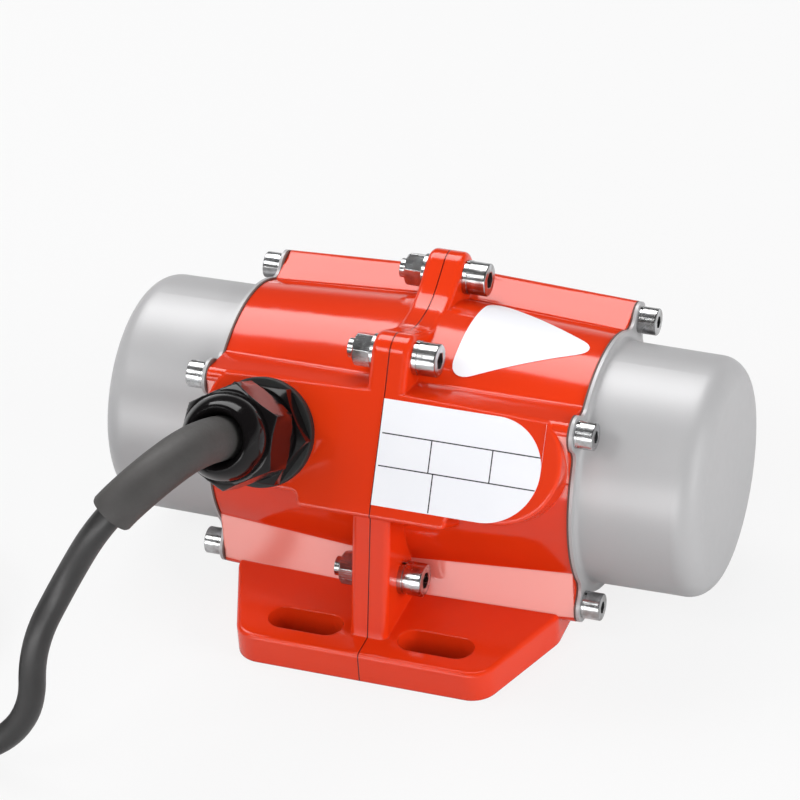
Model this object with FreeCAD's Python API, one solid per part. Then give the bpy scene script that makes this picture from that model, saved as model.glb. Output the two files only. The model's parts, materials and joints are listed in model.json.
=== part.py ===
"""Small foot-mounted vibration motor.

A two-part die-cast housing, bolted together on its centre flange, carries a
stator between two ball bearings.  The shaft runs out of both ends and holds a
keyed and an adjustable eccentric weight under each deep-drawn cover.

Frame: X runs along the shaft, Z is up, and the origin is the centre of the
four foot slots on the base face.  Lengths are in millimetres.
"""
import FreeCAD
import Part
import math
import os

V = FreeCAD.Vector
X_AXIS = V(1, 0, 0)
Z_AXIS = V(0, 0, 1)

# ---------------------------------------------------------------- housing
AXIS_HEIGHT = 36.0          # shaft centre above the base
HOUSING_HALF_LENGTH = 47.6  # parting plane to the end face
BARREL_R = 35.7             # at the parting plane
DRAFT = 2.5                 # lost on the barrel radius over one half
SQUARE_HALF = 31.7          # half the width over the four screw ribs
RIB_DRAFT = 1.4             # lost on the rib width over one half
RIB_CORNER_R = 2.5
RIB_BLEND_R = 2.0           # hollow blend between a rib and the barrel
END_WALL = 8.0
CASTING_EDGE_R = 1.2

# ---------------------------------------------------------- centre flange
FLANGE_THICKNESS = 5.0      # each half
FLANGE_EDGE_R = 1.6
FLANGE_RISE = 0.1           # the flange's stand-out above the barrel on top
SADDLE_HALF = 6.0           # level part between the two upper lugs, half width
SADDLE_R = 18.0
LUG_BOLT_Y = 19.0
LUG_BOLT_UP = 36.5          # upper bolts above the shaft
LUG_PEAK_OUT = 2.8          # lug corner beyond its bolt, across
LUG_PEAK_UP = 8.1           # lug corner above its bolt
LUG_R = 5.5
SHOULDER_UP = 16.1          # flange shoulder above the gland axis, up the pad
SHOULDER_R = 8.0
KNEE_DOWN = 13.3            # flange knee below the gland axis, down the pad
KNEE_R = 4.0
WEB_BOLT_Y = 38.6
WEB_BOLT_DOWN = 17.4        # lower bolts below the shaft
WEB_FRONT_Y = 52.2          # flange front where it meets the foot

# ------------------------------------------------------- cable-entry pad
PAD_TILT = 31.3             # degrees that the pad faces upwards
PAD_DISTANCE = 41.1         # pad face to shaft axis
PAD_OFFSET = -2.6           # gland axis along the pad's slope
PAD_RISE = 2.5              # middle of the pad above the gland axis
PAD_HALF_HEIGHT = 16.1
PAD_END_SETBACK = 0.3       # pad end back from the end face
PAD_ROOT = 14.0             # depth that the pad reaches into the barrel
PAD_EDGE_R = 0.9
STEP_LENGTH = 19.8          # lower step of the pad, beside the flange
STEP_DROP = 3.4
STEP_R = 1.5
GLAND_FROM_FLANGE = 30.7    # parting plane to the gland axis
WIRE_HOLE_DEPTH = 18.0
ENTRY_DEPTH = 11.0          # pad face to the inner end of the cable

# ------------------------------------------------------------------- foot
FOOT_THICKNESS = 8.3
FOOT_HALF_DEPTH = 59.5
FOOT_END_SETBACK = 4.1      # foot end back from the end face
FOOT_FRONT_HALF = 32.8
FOOT_SHOULDER_Y = 31.5
FOOT_CORNER_R = 7.0
SLOT_PITCH_X = 35.0
SLOT_PITCH_Y = 100.0
SLOT_LENGTH = 20.0
SLOT_WIDTH = 8.6

# -------------------------------------------------------------- fasteners
COVER_SCREW_PITCH = 26.25   # screw to axis, along Y and along Z
COVER_SCREW_D = 4.0
COVER_SCREW_LENGTH = 12.0
COVER_WASHER_T = 0.9        # spring washer
BOLT_WASHER_T = 1.3         # spring washer
FLANGE_BOLT_D = 5.0
FLANGE_BOLT_OVERHANG = 1.8  # thread that stands out of the nut
NUT_HEIGHT = 4.7
NUT_AF = 8.0
FLAT_WASHER_T = 1.0
SPRING_WASHER_SPLIT = 1.0
HOLE_PLAY = 0.25            # radial, a bolt in its hole
THREAD_PLAY = 0.05          # radial, a thread in its hole

# ----------------------------------------------------------------- covers
COVER_R = 31.0
COVER_TAPER = 0.3
COVER_END_GAP = 4.1         # shaft end to the inside of the closed end
COVER_SHEET = 0.8
COVER_END_R = 6.4
COVER_ROOT_R = 1.2
COVER_JOIN = 0.6            # flat of the cup that runs into its flange
COVER_FLANGE_R = 33.5
EAR_R = 4.6
EAR_BLEND_R = 4.0
GASKET_T = 0.5

# ------------------------------------------------------------ motor parts
STACK_HALF_LENGTH = 22.0
STATOR_R = 30.0
STATOR_STEP = 1.5           # shoulder that the stack seats on
STATOR_BORE_R = 16.2
AIR_GAP = 0.4
SLOT_COUNT = 12
TOOTH_TIP = 2.0
STATOR_SLOT_DEPTH = 7.5
STATOR_SLOT_WIDTH = 5.4
STATOR_SLOT_MOUTH = 2.4
LINER_T = 0.35
LINER_OVERHANG = 1.0
COIL_PLAY = 0.25
COIL_HEAD_LENGTH = 8.5
ROTOR_BARS = 14
ROTOR_BAR_R = 1.1
END_RING_LENGTH = 5.0
END_RING_WALL = 5.2
SHAFT_CORE_R = 8.5
SHAFT_SHOULDER_R = 7.5
SHAFT_SHOULDER_X = 29.0
SHAFT_R = 6.0
SHAFT_CHAMFER = 0.8
FIT_PLAY = 0.02             # radial, a seat that does not turn

# --------------------------------------------------------------- bearings
BEARING_R = 16.0
BEARING_WIDTH = 10.0
BALL_R = 2.97
BALL_COUNT = 7
BALL_CIRCLE_R = 11.0
BALL_PLAY = 0.08
RING_WALL = 3.0
CAGE_WALL = 1.4
CAGE_WIDTH = 7.6
HUB_WALL = 3.0
LIP_T = 2.0
LIP_R = 12.0
WAVE_SPRING_T = 0.9
SLEEVE_WALL = 2.0

# ------------------------------------------------------ eccentric weights
WEIGHT_R = 26.0
WEIGHT_T = 9.5
WEIGHT_HUB_R = 11.0
WEIGHT_SPREAD = 150.0       # degrees of the heavy sector
WEIGHT_END_GAP = 2.9        # housing end face to the fixed weight
WEIGHT_GAP = 0.5            # fixed to adjustable weight
WEIGHT_PLAY = 0.05          # radial, adjustable weight on the shaft
CLAMP_WIDTH = 9.0           # half the width over the clamp ears
CLAMP_HEIGHT = 14.0
CLAMP_SLIT = 1.2
CLAMP_SCREW_D = 4.0
CLAMP_SCREW_Z = 9.6
END_WASHER_T = 1.0
END_WASHER_R = 9.5
CIRCLIP_T = 1.0
CIRCLIP_DEPTH = 0.5
CIRCLIP_WALL = 2.2
SHAFT_END_BEYOND = 2.2      # shaft left outside its circlip
KEY_WIDTH = 4.0
KEY_HEIGHT = 4.0
KEY_DEPTH = 2.4

# ------------------------------------------------------------ cable gland
GLAND_THREAD_R = 10.0
GLAND_THREAD_DEPTH = 8.0
GLAND_THREAD_RUNOUT = 0.5   # tapped depth beyond the gland's thread
GLAND_SEAL_R = 13.9
GLAND_SEAL_T = 2.2
GLAND_AF = 24.0
GLAND_BODY_HEIGHT = 5.5
GLAND_NUT_HEIGHT = 13.3
GLAND_NOSE_HEIGHT = 11.0
GLAND_NOSE_R = 9.9
GLAND_NOSE_TIP_R = 8.3
GLAND_MOUTH_DEPTH = 6.0     # nose face down to the rubber insert
GLAND_WALL = 2.0
GLAND_BORE_PLAY = 0.5       # radial, cable in the gland body
NOSE_WAIST = 0.45           # share of the nose that is straight
WIRE_HOLE_R = 4.6

# ------------------------------------------------------------------ cable
CABLE_D = 6.7
SLEEVE_D = 11.2
SLEEVE_CABLE_PLAY = 0.1
CORE_D = 2.2
CORE_LENGTH = 24.0
CORE_COUNT = 3
CORE_CIRCLE_R = 1.4
FERRULE_D = 1.7
FERRULE_LENGTH = 8.0
COIL_CENTRE = V(-141.0, -78.0, 0)
COIL_MEAN_R = 37.5
COIL_LAYERS = 2
COIL_RIM_R = 2.95           # rounding of the coil's outer turns
TAIL_ANGLE = 180.0          # where the free end leaves the coil, degrees
TAIL_START = 10.0           # tail clear of the coil, along its heading
TAIL_LENGTH = 32.0
FLOOR_PLAY = 0.1
# corners of the route behind the gland, and the run that the sleeve ends on
CABLE_POINTS = [
    V(-36.1, -91.0, 78.2),
    V(-45.3, -104.2, 69.4),
    V(-57.7, -109.8, 49.9),
    V(-61.6, -107.7, 32.3),
    V(-66.6, -110.2, 16.7),
    V(-79.0, -112.6, 6.0),
    V(-95.3, -114.5, 3.5),
    V(-111.0, -116.0, 3.5),
    V(-124.0, -115.4, 3.5),
]
CABLE_STRAIGHT = 18.0       # first run, out of the gland
SLEEVE_RUN = 2              # the sleeve ends on this run, counted from 0
SLEEVE_SHARE = 0.9         # of that run's straight part

# ---------------------------------------------------------- worked-out sizes
AXIS = V(0, 0, AXIS_HEIGHT)
FOOT_HALF_LENGTH = HOUSING_HALF_LENGTH - FOOT_END_SETBACK
PAD_HALF_LENGTH = HOUSING_HALF_LENGTH - PAD_END_SETBACK
BARREL_END_R = BARREL_R - DRAFT
SQUARE_END_HALF = SQUARE_HALF - RIB_DRAFT
CAVITY_R = STATOR_R - STATOR_STEP
CAVITY_END = HOUSING_HALF_LENGTH - END_WALL
BEARING_FACE = {-1: HOUSING_HALF_LENGTH - LIP_T}
BEARING_FACE[1] = BEARING_FACE[-1] - WAVE_SPRING_T
HUB_START = BEARING_FACE[1] - BEARING_WIDTH - 0.8
INNER_RING_R = SHAFT_R + RING_WALL
OUTER_RING_R = BEARING_R - RING_WALL
COVER_FACE = HOUSING_HALF_LENGTH + GASKET_T
COVER_SEAT = COVER_FACE + COVER_SHEET + COVER_WASHER_T
BOLT_SEAT = FLANGE_THICKNESS + BOLT_WASHER_T
NUT_FACE = FLANGE_THICKNESS + FLAT_WASHER_T
WEIGHT_START = HOUSING_HALF_LENGTH + WEIGHT_END_GAP
ADJUSTABLE_START = WEIGHT_START + WEIGHT_T + WEIGHT_GAP
END_WASHER_START = ADJUSTABLE_START + WEIGHT_T + WEIGHT_GAP
CIRCLIP_START = END_WASHER_START + END_WASHER_T
SHAFT_END = CIRCLIP_START + CIRCLIP_T + SHAFT_END_BEYOND
COVER_END = SHAFT_END + COVER_END_GAP + COVER_SHEET
LUG_BOLT_Z = AXIS_HEIGHT + LUG_BOLT_UP
WEB_BOLT_Z = AXIS_HEIGHT - WEB_BOLT_DOWN
GLAND_X = -GLAND_FROM_FLANGE
GLAND_BODY_TOP = GLAND_SEAL_T + GLAND_BODY_HEIGHT
GLAND_NUT_TOP = GLAND_BODY_TOP + GLAND_NUT_HEIGHT
GLAND_TOP = GLAND_NUT_TOP + GLAND_NOSE_HEIGHT
CORD_START = GLAND_TOP - GLAND_MOUTH_DEPTH
FLANGE_BOLTS = [(y, z) for z, y_abs in ((LUG_BOLT_Z, LUG_BOLT_Y), (WEB_BOLT_Z, WEB_BOLT_Y))
                for y in (-y_abs, y_abs)]
COVER_SCREWS = [(y, z) for y in (-COVER_SCREW_PITCH, COVER_SCREW_PITCH)
                for z in (AXIS_HEIGHT - COVER_SCREW_PITCH, AXIS_HEIGHT + COVER_SCREW_PITCH)]
PAD_NORMAL = V(0, -math.cos(math.radians(PAD_TILT)), math.sin(math.radians(PAD_TILT)))
PAD_SLOPE = V(0, math.sin(math.radians(PAD_TILT)), math.cos(math.radians(PAD_TILT)))
PAD_CENTRE = AXIS + PAD_NORMAL * PAD_DISTANCE + PAD_SLOPE * PAD_OFFSET


# ------------------------------------------------------------ small helpers
def save(node, *solids):
    """Write one node, a single solid or a group of separate ones."""
    shape = solids[0] if len(solids) == 1 else Part.makeCompound(list(solids))
    shape.exportStep("parts/%s.step" % node)


def fuse(first, *others):
    return first.fuse(list(others)).removeSplitter()


def rod(radius, start, end, y=0.0, z=AXIS_HEIGHT):
    """Cylinder along X."""
    return Part.makeCylinder(radius, end - start, V(start, y, z), X_AXIS)


def ring(outer, inner, start, end, y=0.0, z=AXIS_HEIGHT):
    return rod(outer, start, end, y, z).cut(rod(inner, start - 1, end + 1, y, z))


def rounded_wire(corners, to_space):
    """Closed wire through (u, v, radius) corners; to_space maps u, v to a point."""
    edges = []
    ends = []
    count = len(corners)
    for i, (u, v, radius) in enumerate(corners):
        corner = V(u, v, 0)
        before = V(*corners[i - 1][:2], 0) - corner
        after = V(*corners[(i + 1) % count][:2], 0) - corner
        before.normalize()
        after.normalize()
        if radius == 0:
            ends.append((corner, corner, None))
            continue
        half = before.getAngle(after) / 2
        reach = radius / math.tan(half)
        bisector = before + after
        bisector.normalize()
        middle = corner + bisector * (radius / math.sin(half) - radius)
        ends.append((corner + before * reach, corner + after * reach, middle))
    for i, (start, end, middle) in enumerate(ends):
        if middle is not None:
            points = [to_space(p.x, p.y) for p in (start, middle, end)]
            edges.append(Part.Arc(*points).toShape())
        following = ends[(i + 1) % count][0]
        if end.distanceToPoint(following) > 1e-6:
            line = Part.LineSegment(to_space(end.x, end.y), to_space(following.x, following.y))
            edges.append(line.toShape())
    return Part.Wire(edges)


def across(x):
    """Map (y, z) to space at a station x."""
    return lambda y, z: V(x, y, z)


def level(z):
    """Map (x, y) to space at a height z."""
    return lambda x, y: V(x, y, z)


def about_axis(x, r):
    """Map (x, radius) to space, above the shaft axis."""
    return V(x, 0, AXIS_HEIGHT + r)


def prism(wire, vector):
    return Part.Face(wire).extrude(vector)


def turned(corners, side=1):
    """Solid of revolution about the shaft from (x, radius, rounding) corners."""
    profile = rounded_wire([(side * x, r, rounding) for x, r, rounding in corners], about_axis)
    return Part.Face(profile).revolve(AXIS, X_AXIS, 360)


def mirrored(shape):
    return shape.mirror(V(0, 0, 0), X_AXIS)


def on_side(shape, side):
    """A shape made on +X, or its mirror image for side -1."""
    return shape if side > 0 else mirrored(shape)


def on_pad(shape, x=GLAND_X):
    """Place a shape built about +Z on the tilted pad face, at a station x."""
    placed = shape.copy()
    turn = FreeCAD.Rotation(X_AXIS, 90 - PAD_TILT)
    placed.Placement = FreeCAD.Placement(V(x, PAD_CENTRE.y, PAD_CENTRE.z), turn)
    return placed


def hexagon(across_flats, height, base, direction, chamfer=0.0):
    """Hexagonal prism with chamfered outer corners at its far end."""
    corner_r = across_flats / math.sqrt(3)
    points = [V(corner_r * math.cos(math.radians(60 * i)),
                corner_r * math.sin(math.radians(60 * i)), 0) for i in range(6)]
    shape = prism(Part.makePolygon(points + points[:1]), V(0, 0, height))
    if chamfer:
        drop = corner_r - across_flats / 2 + chamfer
        cone_r = corner_r + chamfer
        body = Part.makeCylinder(cone_r, height - drop)
        cap = Part.makeCone(cone_r, cone_r - drop, drop, V(0, 0, height - drop))
        shape = shape.common(body.fuse(cap))
    shape.Placement = FreeCAD.Placement(base, FreeCAD.Rotation(Z_AXIS, direction))
    return shape


def edges_at(shape, test):
    """Edges whose every vertex passes the test."""
    return [e for e in shape.Edges if all(test(v.Point) for v in e.Vertexes)]


# ------------------------------------------------------------------ housing
def barrel_section(x, barrel_r, half):
    """Round barrel with four square screw ribs, joined by hollow blends."""
    blend = RIB_BLEND_R
    along = math.sqrt((barrel_r + blend) ** 2 - (half + blend) ** 2)
    centre = V(half + blend, along, 0)
    on_flat = V(half, along, 0)
    on_barrel = centre * (barrel_r / (barrel_r + blend))
    toward = centre * -1
    toward.normalize()
    side = V(-1, 0, 0)
    mid_direction = toward + side
    mid_direction.normalize()
    on_blend = centre + mid_direction * blend
    corner = half - RIB_CORNER_R
    corner_mid = corner + RIB_CORNER_R * math.sqrt(0.5)
    edges = []
    for quarter in range(4):
        angle = math.radians(90 * quarter)

        def place(p):
            y = p.x * math.cos(angle) - p.y * math.sin(angle)
            z = p.x * math.sin(angle) + p.y * math.cos(angle)
            return V(x, y, AXIS_HEIGHT + z)

        def swap(p):
            return V(p.y, p.x, 0)

        low = V(on_barrel.x, -on_barrel.y, 0)
        edges += [
            Part.Arc(place(low), place(V(barrel_r, 0, 0)), place(on_barrel)).toShape(),
            Part.Arc(place(on_barrel), place(on_blend), place(on_flat)).toShape(),
            Part.LineSegment(place(on_flat), place(V(half, corner, 0))).toShape(),
            Part.Arc(place(V(half, corner, 0)), place(V(corner_mid, corner_mid, 0)),
                     place(V(corner, half, 0))).toShape(),
            Part.LineSegment(place(V(corner, half, 0)), place(swap(on_flat))).toShape(),
            Part.Arc(place(swap(on_flat)), place(swap(on_blend)), place(swap(on_barrel))).toShape(),
        ]
    return Part.Wire(edges)


def barrel():
    inner = barrel_section(0, BARREL_R, SQUARE_HALF)
    outer = barrel_section(HOUSING_HALF_LENGTH, BARREL_END_R, SQUARE_END_HALF)
    return Part.makeLoft([inner, outer], True, True)


def pad_point(along):
    """(y, z) of a point on the pad plane, at a place along its slope."""
    point = AXIS + PAD_NORMAL * PAD_DISTANCE + PAD_SLOPE * along
    return point.y, point.z


def flange():
    """Centre flange with its four bolt lugs, front half outline mirrored behind."""
    top = AXIS_HEIGHT + BARREL_R + FLANGE_RISE
    shoulder = pad_point(PAD_OFFSET + SHOULDER_UP)
    knee = pad_point(PAD_OFFSET - KNEE_DOWN)
    front = [
        (-SADDLE_HALF, top, SADDLE_R),
        (-(LUG_BOLT_Y + LUG_PEAK_OUT), LUG_BOLT_Z + LUG_PEAK_UP, LUG_R),
        (shoulder[0], shoulder[1], SHOULDER_R),
        (knee[0], knee[1], KNEE_R),
        (-WEB_FRONT_Y, FOOT_THICKNESS, 0),
        (-WEB_FRONT_Y, 0, 0),
    ]
    back = [(-y, z, r) for y, z, r in reversed(front)]
    plate = prism(rounded_wire(front + back, across(0)), V(FLANGE_THICKNESS, 0, 0))
    rim = edges_at(plate, lambda p: p.x > FLANGE_THICKNESS - 0.01 and p.z > FOOT_THICKNESS - 0.01)
    return plate.makeFillet(FLANGE_EDGE_R, rim)


def under_rib_top(shape):
    """What stays of a shape below the drafted top faces of the upper ribs."""
    reach = HOUSING_HALF_LENGTH + 1
    slope = RIB_DRAFT / HOUSING_HALF_LENGTH
    top = AXIS_HEIGHT + SQUARE_HALF
    front = -FOOT_HALF_DEPTH
    outline = [V(-1, front, 0), V(reach, front, 0), V(reach, front, top - slope * reach),
               V(-1, front, top + slope)]
    return shape.common(prism(Part.makePolygon(outline + outline[:1]), V(0, FOOT_HALF_DEPTH, 0)))


def pad():
    """Half of the tilted round-ended pad, flush with the flange at its middle."""
    end_r = PAD_HALF_HEIGHT - 0.01
    low = PAD_RISE - PAD_HALF_HEIGHT
    high = PAD_RISE + PAD_HALF_HEIGHT
    corners = [(0, low - STEP_DROP, 0), (STEP_LENGTH, low - STEP_DROP, STEP_R), (STEP_LENGTH, low, STEP_R),
               (PAD_HALF_LENGTH, low, end_r), (PAD_HALF_LENGTH, high, end_r), (0, high, 0)]
    block = prism(rounded_wire(corners, level(-PAD_ROOT)), V(0, 0, PAD_ROOT))
    rim = [e for e in edges_at(block, lambda p: p.z > -0.01) if e.CenterOfMass.x > 0.01]
    return under_rib_top(on_pad(block.makeFillet(PAD_EDGE_R, rim), 0))


def above_pad():
    """Cutter for all that would stand over the pad's face."""
    reach = HOUSING_HALF_LENGTH + 1
    slab = Part.makeBox(reach + 1, 4 * PAD_HALF_HEIGHT, PAD_ROOT, V(-1, -2 * PAD_HALF_HEIGHT, 0))
    return on_pad(slab, 0)


def foot():
    corners = [
        (0, -FOOT_HALF_DEPTH, 0),
        (FOOT_FRONT_HALF, -FOOT_HALF_DEPTH, FOOT_CORNER_R),
        (FOOT_HALF_LENGTH, -FOOT_SHOULDER_Y, FOOT_CORNER_R),
        (FOOT_HALF_LENGTH, FOOT_SHOULDER_Y, FOOT_CORNER_R),
        (FOOT_FRONT_HALF, FOOT_HALF_DEPTH, FOOT_CORNER_R),
        (0, FOOT_HALF_DEPTH, 0),
    ]
    plate = prism(rounded_wire(corners, level(0)), V(0, 0, FOOT_THICKNESS))
    rim = [e for e in edges_at(plate, lambda p: p.z > FOOT_THICKNESS - 0.01)
           if e.CenterOfMass.x > 0.01]
    return plate.makeFillet(CASTING_EDGE_R, rim)


def slot(y):
    """Cutter for one foot slot."""
    half = SLOT_LENGTH / 2
    wide = SLOT_WIDTH / 2
    x = SLOT_PITCH_X / 2
    corners = [(x - half, y - wide, wide - 0.01), (x + half, y - wide, wide - 0.01),
               (x + half, y + wide, wide - 0.01), (x - half, y + wide, wide - 0.01)]
    return prism(rounded_wire(corners, level(-1)), V(0, 0, FOOT_THICKNESS + 2))


def housing(side):
    """One casting; side +1 is the bolt-head half, -1 the cable-entry half."""
    body = fuse(barrel().cut(above_pad()), flange(), pad(), foot())
    body = body.cut([rod(STATOR_R, -1, STACK_HALF_LENGTH), rod(CAVITY_R, 0, CAVITY_END)])
    bearing_face = BEARING_FACE[side]
    hub = ring(BEARING_R + HUB_WALL, BEARING_R, HUB_START, CAVITY_END + 0.5)
    body = fuse(body, hub)
    cutters = [rod(BEARING_R, HUB_START - 1, BEARING_FACE[-1]), rod(LIP_R, 0, HOUSING_HALF_LENGTH + 1)]
    cutters += [rod(FLANGE_BOLT_D / 2 + HOLE_PLAY, -1, FLANGE_THICKNESS + 1, y, z)
                for y, z in FLANGE_BOLTS]
    depth = COVER_SCREW_LENGTH + 1.0
    cutters += [rod(COVER_SCREW_D / 2 + THREAD_PLAY, HOUSING_HALF_LENGTH - depth,
                    HOUSING_HALF_LENGTH + 1, y, z) for y, z in COVER_SCREWS]
    cutters += [slot(y) for y in (-SLOT_PITCH_Y / 2, SLOT_PITCH_Y / 2)]
    body = on_side(body.cut(cutters), side)
    if side < 0:
        thread = Part.makeCylinder(GLAND_THREAD_R + THREAD_PLAY, GLAND_THREAD_DEPTH + 1,
                                   V(0, 0, -GLAND_THREAD_DEPTH))
        wires = Part.makeCylinder(WIRE_HOLE_R, WIRE_HOLE_DEPTH + 1, V(0, 0, -WIRE_HOLE_DEPTH))
        body = body.cut([on_pad(thread), on_pad(wires)])
    return body


# -------------------------------------------------------- covers and gaskets
def eared_outline(x):
    """Round flange with an ear about each cover screw, blended into it."""
    flange_r = COVER_FLANGE_R
    ear_r = EAR_R
    blend = EAR_BLEND_R
    reach = COVER_SCREW_PITCH * math.sqrt(2)
    a = flange_r + blend
    b = ear_r + blend
    along = (a * a - b * b + reach * reach) / (2 * reach)
    off = math.sqrt(a * a - along * along)
    edges = []
    for quarter in range(4):
        angle = math.radians(45 + 90 * quarter)

        def place(u, v):
            y = u * math.cos(angle) - v * math.sin(angle)
            z = u * math.sin(angle) + v * math.cos(angle)
            return V(x, y, AXIS_HEIGHT + z)

        def blend_arc(sign):
            """Points on the flange, the blend and the ear, on one side of the ear."""
            on_flange = (along * flange_r / a, sign * off * flange_r / a)
            to_ear = ((reach - along) / b, -off / b)
            on_ear = (along + to_ear[0] * blend, sign * (off + to_ear[1] * blend))
            direction = V(-along / a + to_ear[0], -off / a + to_ear[1], 0)
            direction.normalize()
            middle = (along + direction.x * blend, sign * (off + direction.y * blend))
            return on_flange, middle, on_ear

        low = blend_arc(-1)
        high = blend_arc(1)
        half_gap = math.radians(45)
        next_flange = (flange_r * math.cos(half_gap), flange_r * math.sin(half_gap))
        following = math.radians(90)
        next_low = (low[0][0] * math.cos(following) - low[0][1] * math.sin(following),
                    low[0][0] * math.sin(following) + low[0][1] * math.cos(following))
        edges += [
            Part.Arc(place(*low[0]), place(*low[1]), place(*low[2])).toShape(),
            Part.Arc(place(*low[2]), place(reach + ear_r, 0), place(*high[2])).toShape(),
            Part.Arc(place(*high[2]), place(*high[1]), place(*high[0])).toShape(),
            Part.Arc(place(*high[0]), place(*next_flange), place(*next_low)).toShape(),
        ]
    return Part.Wire(edges)


def screw_holes(start, end):
    return [rod(COVER_SCREW_D / 2 + HOLE_PLAY, start - 1, end + 1, y, z) for y, z in COVER_SCREWS]


def gasket():
    start, end = HOUSING_HALF_LENGTH, COVER_FACE
    sheet = prism(eared_outline(start), V(GASKET_T, 0, 0))
    return sheet.cut([rod(COVER_R - COVER_SHEET, start - 1, end + 1)] + screw_holes(start, end))


def cover():
    """Deep-drawn cup with a flat eared flange."""
    start = COVER_FACE
    end = COVER_END
    outer = COVER_R
    tip = COVER_R - COVER_TAPER
    sheet = COVER_SHEET
    cup = turned([
        (start, outer - sheet, 0),
        (end - sheet, tip - sheet, COVER_END_R - sheet),
        (end - sheet, 0, 0),
        (end, 0, 0),
        (end, tip, COVER_END_R),
        (start + sheet, outer, COVER_ROOT_R),
        (start + sheet, outer + COVER_ROOT_R + COVER_JOIN, 0),
        (start, outer + COVER_ROOT_R + COVER_JOIN, 0),
    ])
    plate = prism(eared_outline(start), V(sheet, 0, 0))
    plate = plate.cut([rod(outer, start - 1, start + 2)] + screw_holes(start, start + sheet))
    return fuse(cup, plate)


# ------------------------------------------------------------------ fasteners
def cap_screw(diameter, length, seat, y, z, socket_af):
    """Socket-head cap screw along X, its head's underside at seat, thread towards -X."""
    head_r = 0.85 * diameter if diameter > 4.5 else 0.875 * diameter
    head = rod(head_r, seat, seat + diameter, y, z)
    rim = [e for e in head.Edges if len(e.Vertexes) == 1 and e.CenterOfMass.x > seat + diameter / 2]
    head = head.makeFillet(0.08 * diameter, rim)
    shank = rod(diameter / 2, seat - length, seat, y, z)
    recess = hexagon(socket_af, diameter * 0.55, V(seat + diameter * 0.5, y, z), X_AXIS)
    return fuse(head, shank).cut(recess)


def split_washer(inner, outer, start, thickness, y, z):
    washer = ring(outer, inner, start, start + thickness, y, z)
    split = Part.makeBox(thickness + 2, SPRING_WASHER_SPLIT, outer + 1,
                         V(start - 1, y - SPRING_WASHER_SPLIT / 2, z))
    return washer.cut(split)


def make_fasteners():
    for side, name in ((1, "right"), (-1, "left")):
        screws = [cap_screw(COVER_SCREW_D, COVER_SCREW_LENGTH + COVER_SEAT - HOUSING_HALF_LENGTH,
                            COVER_SEAT, y, z, 0.75 * COVER_SCREW_D) for y, z in COVER_SCREWS]
        save("cover_screws_" + name, *[on_side(s, side) for s in screws])
        washers = [split_washer(COVER_SCREW_D / 2 + 0.1, 0.88 * COVER_SCREW_D,
                                COVER_FACE + COVER_SHEET, COVER_WASHER_T, y, z)
                   for y, z in COVER_SCREWS]
        save("cover_spring_washers_" + name, *[on_side(w, side) for w in washers])
    d = FLANGE_BOLT_D
    length = BOLT_SEAT + NUT_FACE + NUT_HEIGHT + FLANGE_BOLT_OVERHANG
    save("flange_bolts", *[cap_screw(d, length, BOLT_SEAT, y, z, 0.8 * d) for y, z in FLANGE_BOLTS])
    save("flange_spring_washers", *[
        split_washer(d / 2 + 0.1, 0.88 * d, FLANGE_THICKNESS, BOLT_WASHER_T, y, z)
        for y, z in FLANGE_BOLTS])
    save("flange_flat_washers", *[
        ring(0.92 * d, d / 2 + 0.15, -NUT_FACE, -FLANGE_THICKNESS, y, z) for y, z in FLANGE_BOLTS])
    nuts = []
    for y, z in FLANGE_BOLTS:
        nut = hexagon(NUT_AF, NUT_HEIGHT, V(-NUT_FACE, y, z), V(-1, 0, 0), 0.1)
        nuts.append(nut.cut(rod(d / 2 + THREAD_PLAY, -NUT_FACE - NUT_HEIGHT - 1, -NUT_FACE + 1, y, z)))
    save("flange_nuts", *nuts)


# ---------------------------------------------------------------- motor parts
def radial(shape, index, count):
    """Copy of a shape turned about the shaft by its share of a full turn."""
    copy = shape.copy()
    copy.rotate(AXIS, X_AXIS, 360.0 * index / count)
    return copy


def slot_block(inner, outer, width, half_length, corner_r=0.0):
    """Radial bar above the shaft axis, between two radii."""
    low = AXIS_HEIGHT + inner
    high = AXIS_HEIGHT + outer
    half = width / 2
    corners = [(-half, low, corner_r), (half, low, corner_r), (half, high, corner_r), (-half, high, corner_r)]
    return prism(rounded_wire(corners, across(-half_length)), V(2 * half_length, 0, 0))


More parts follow.
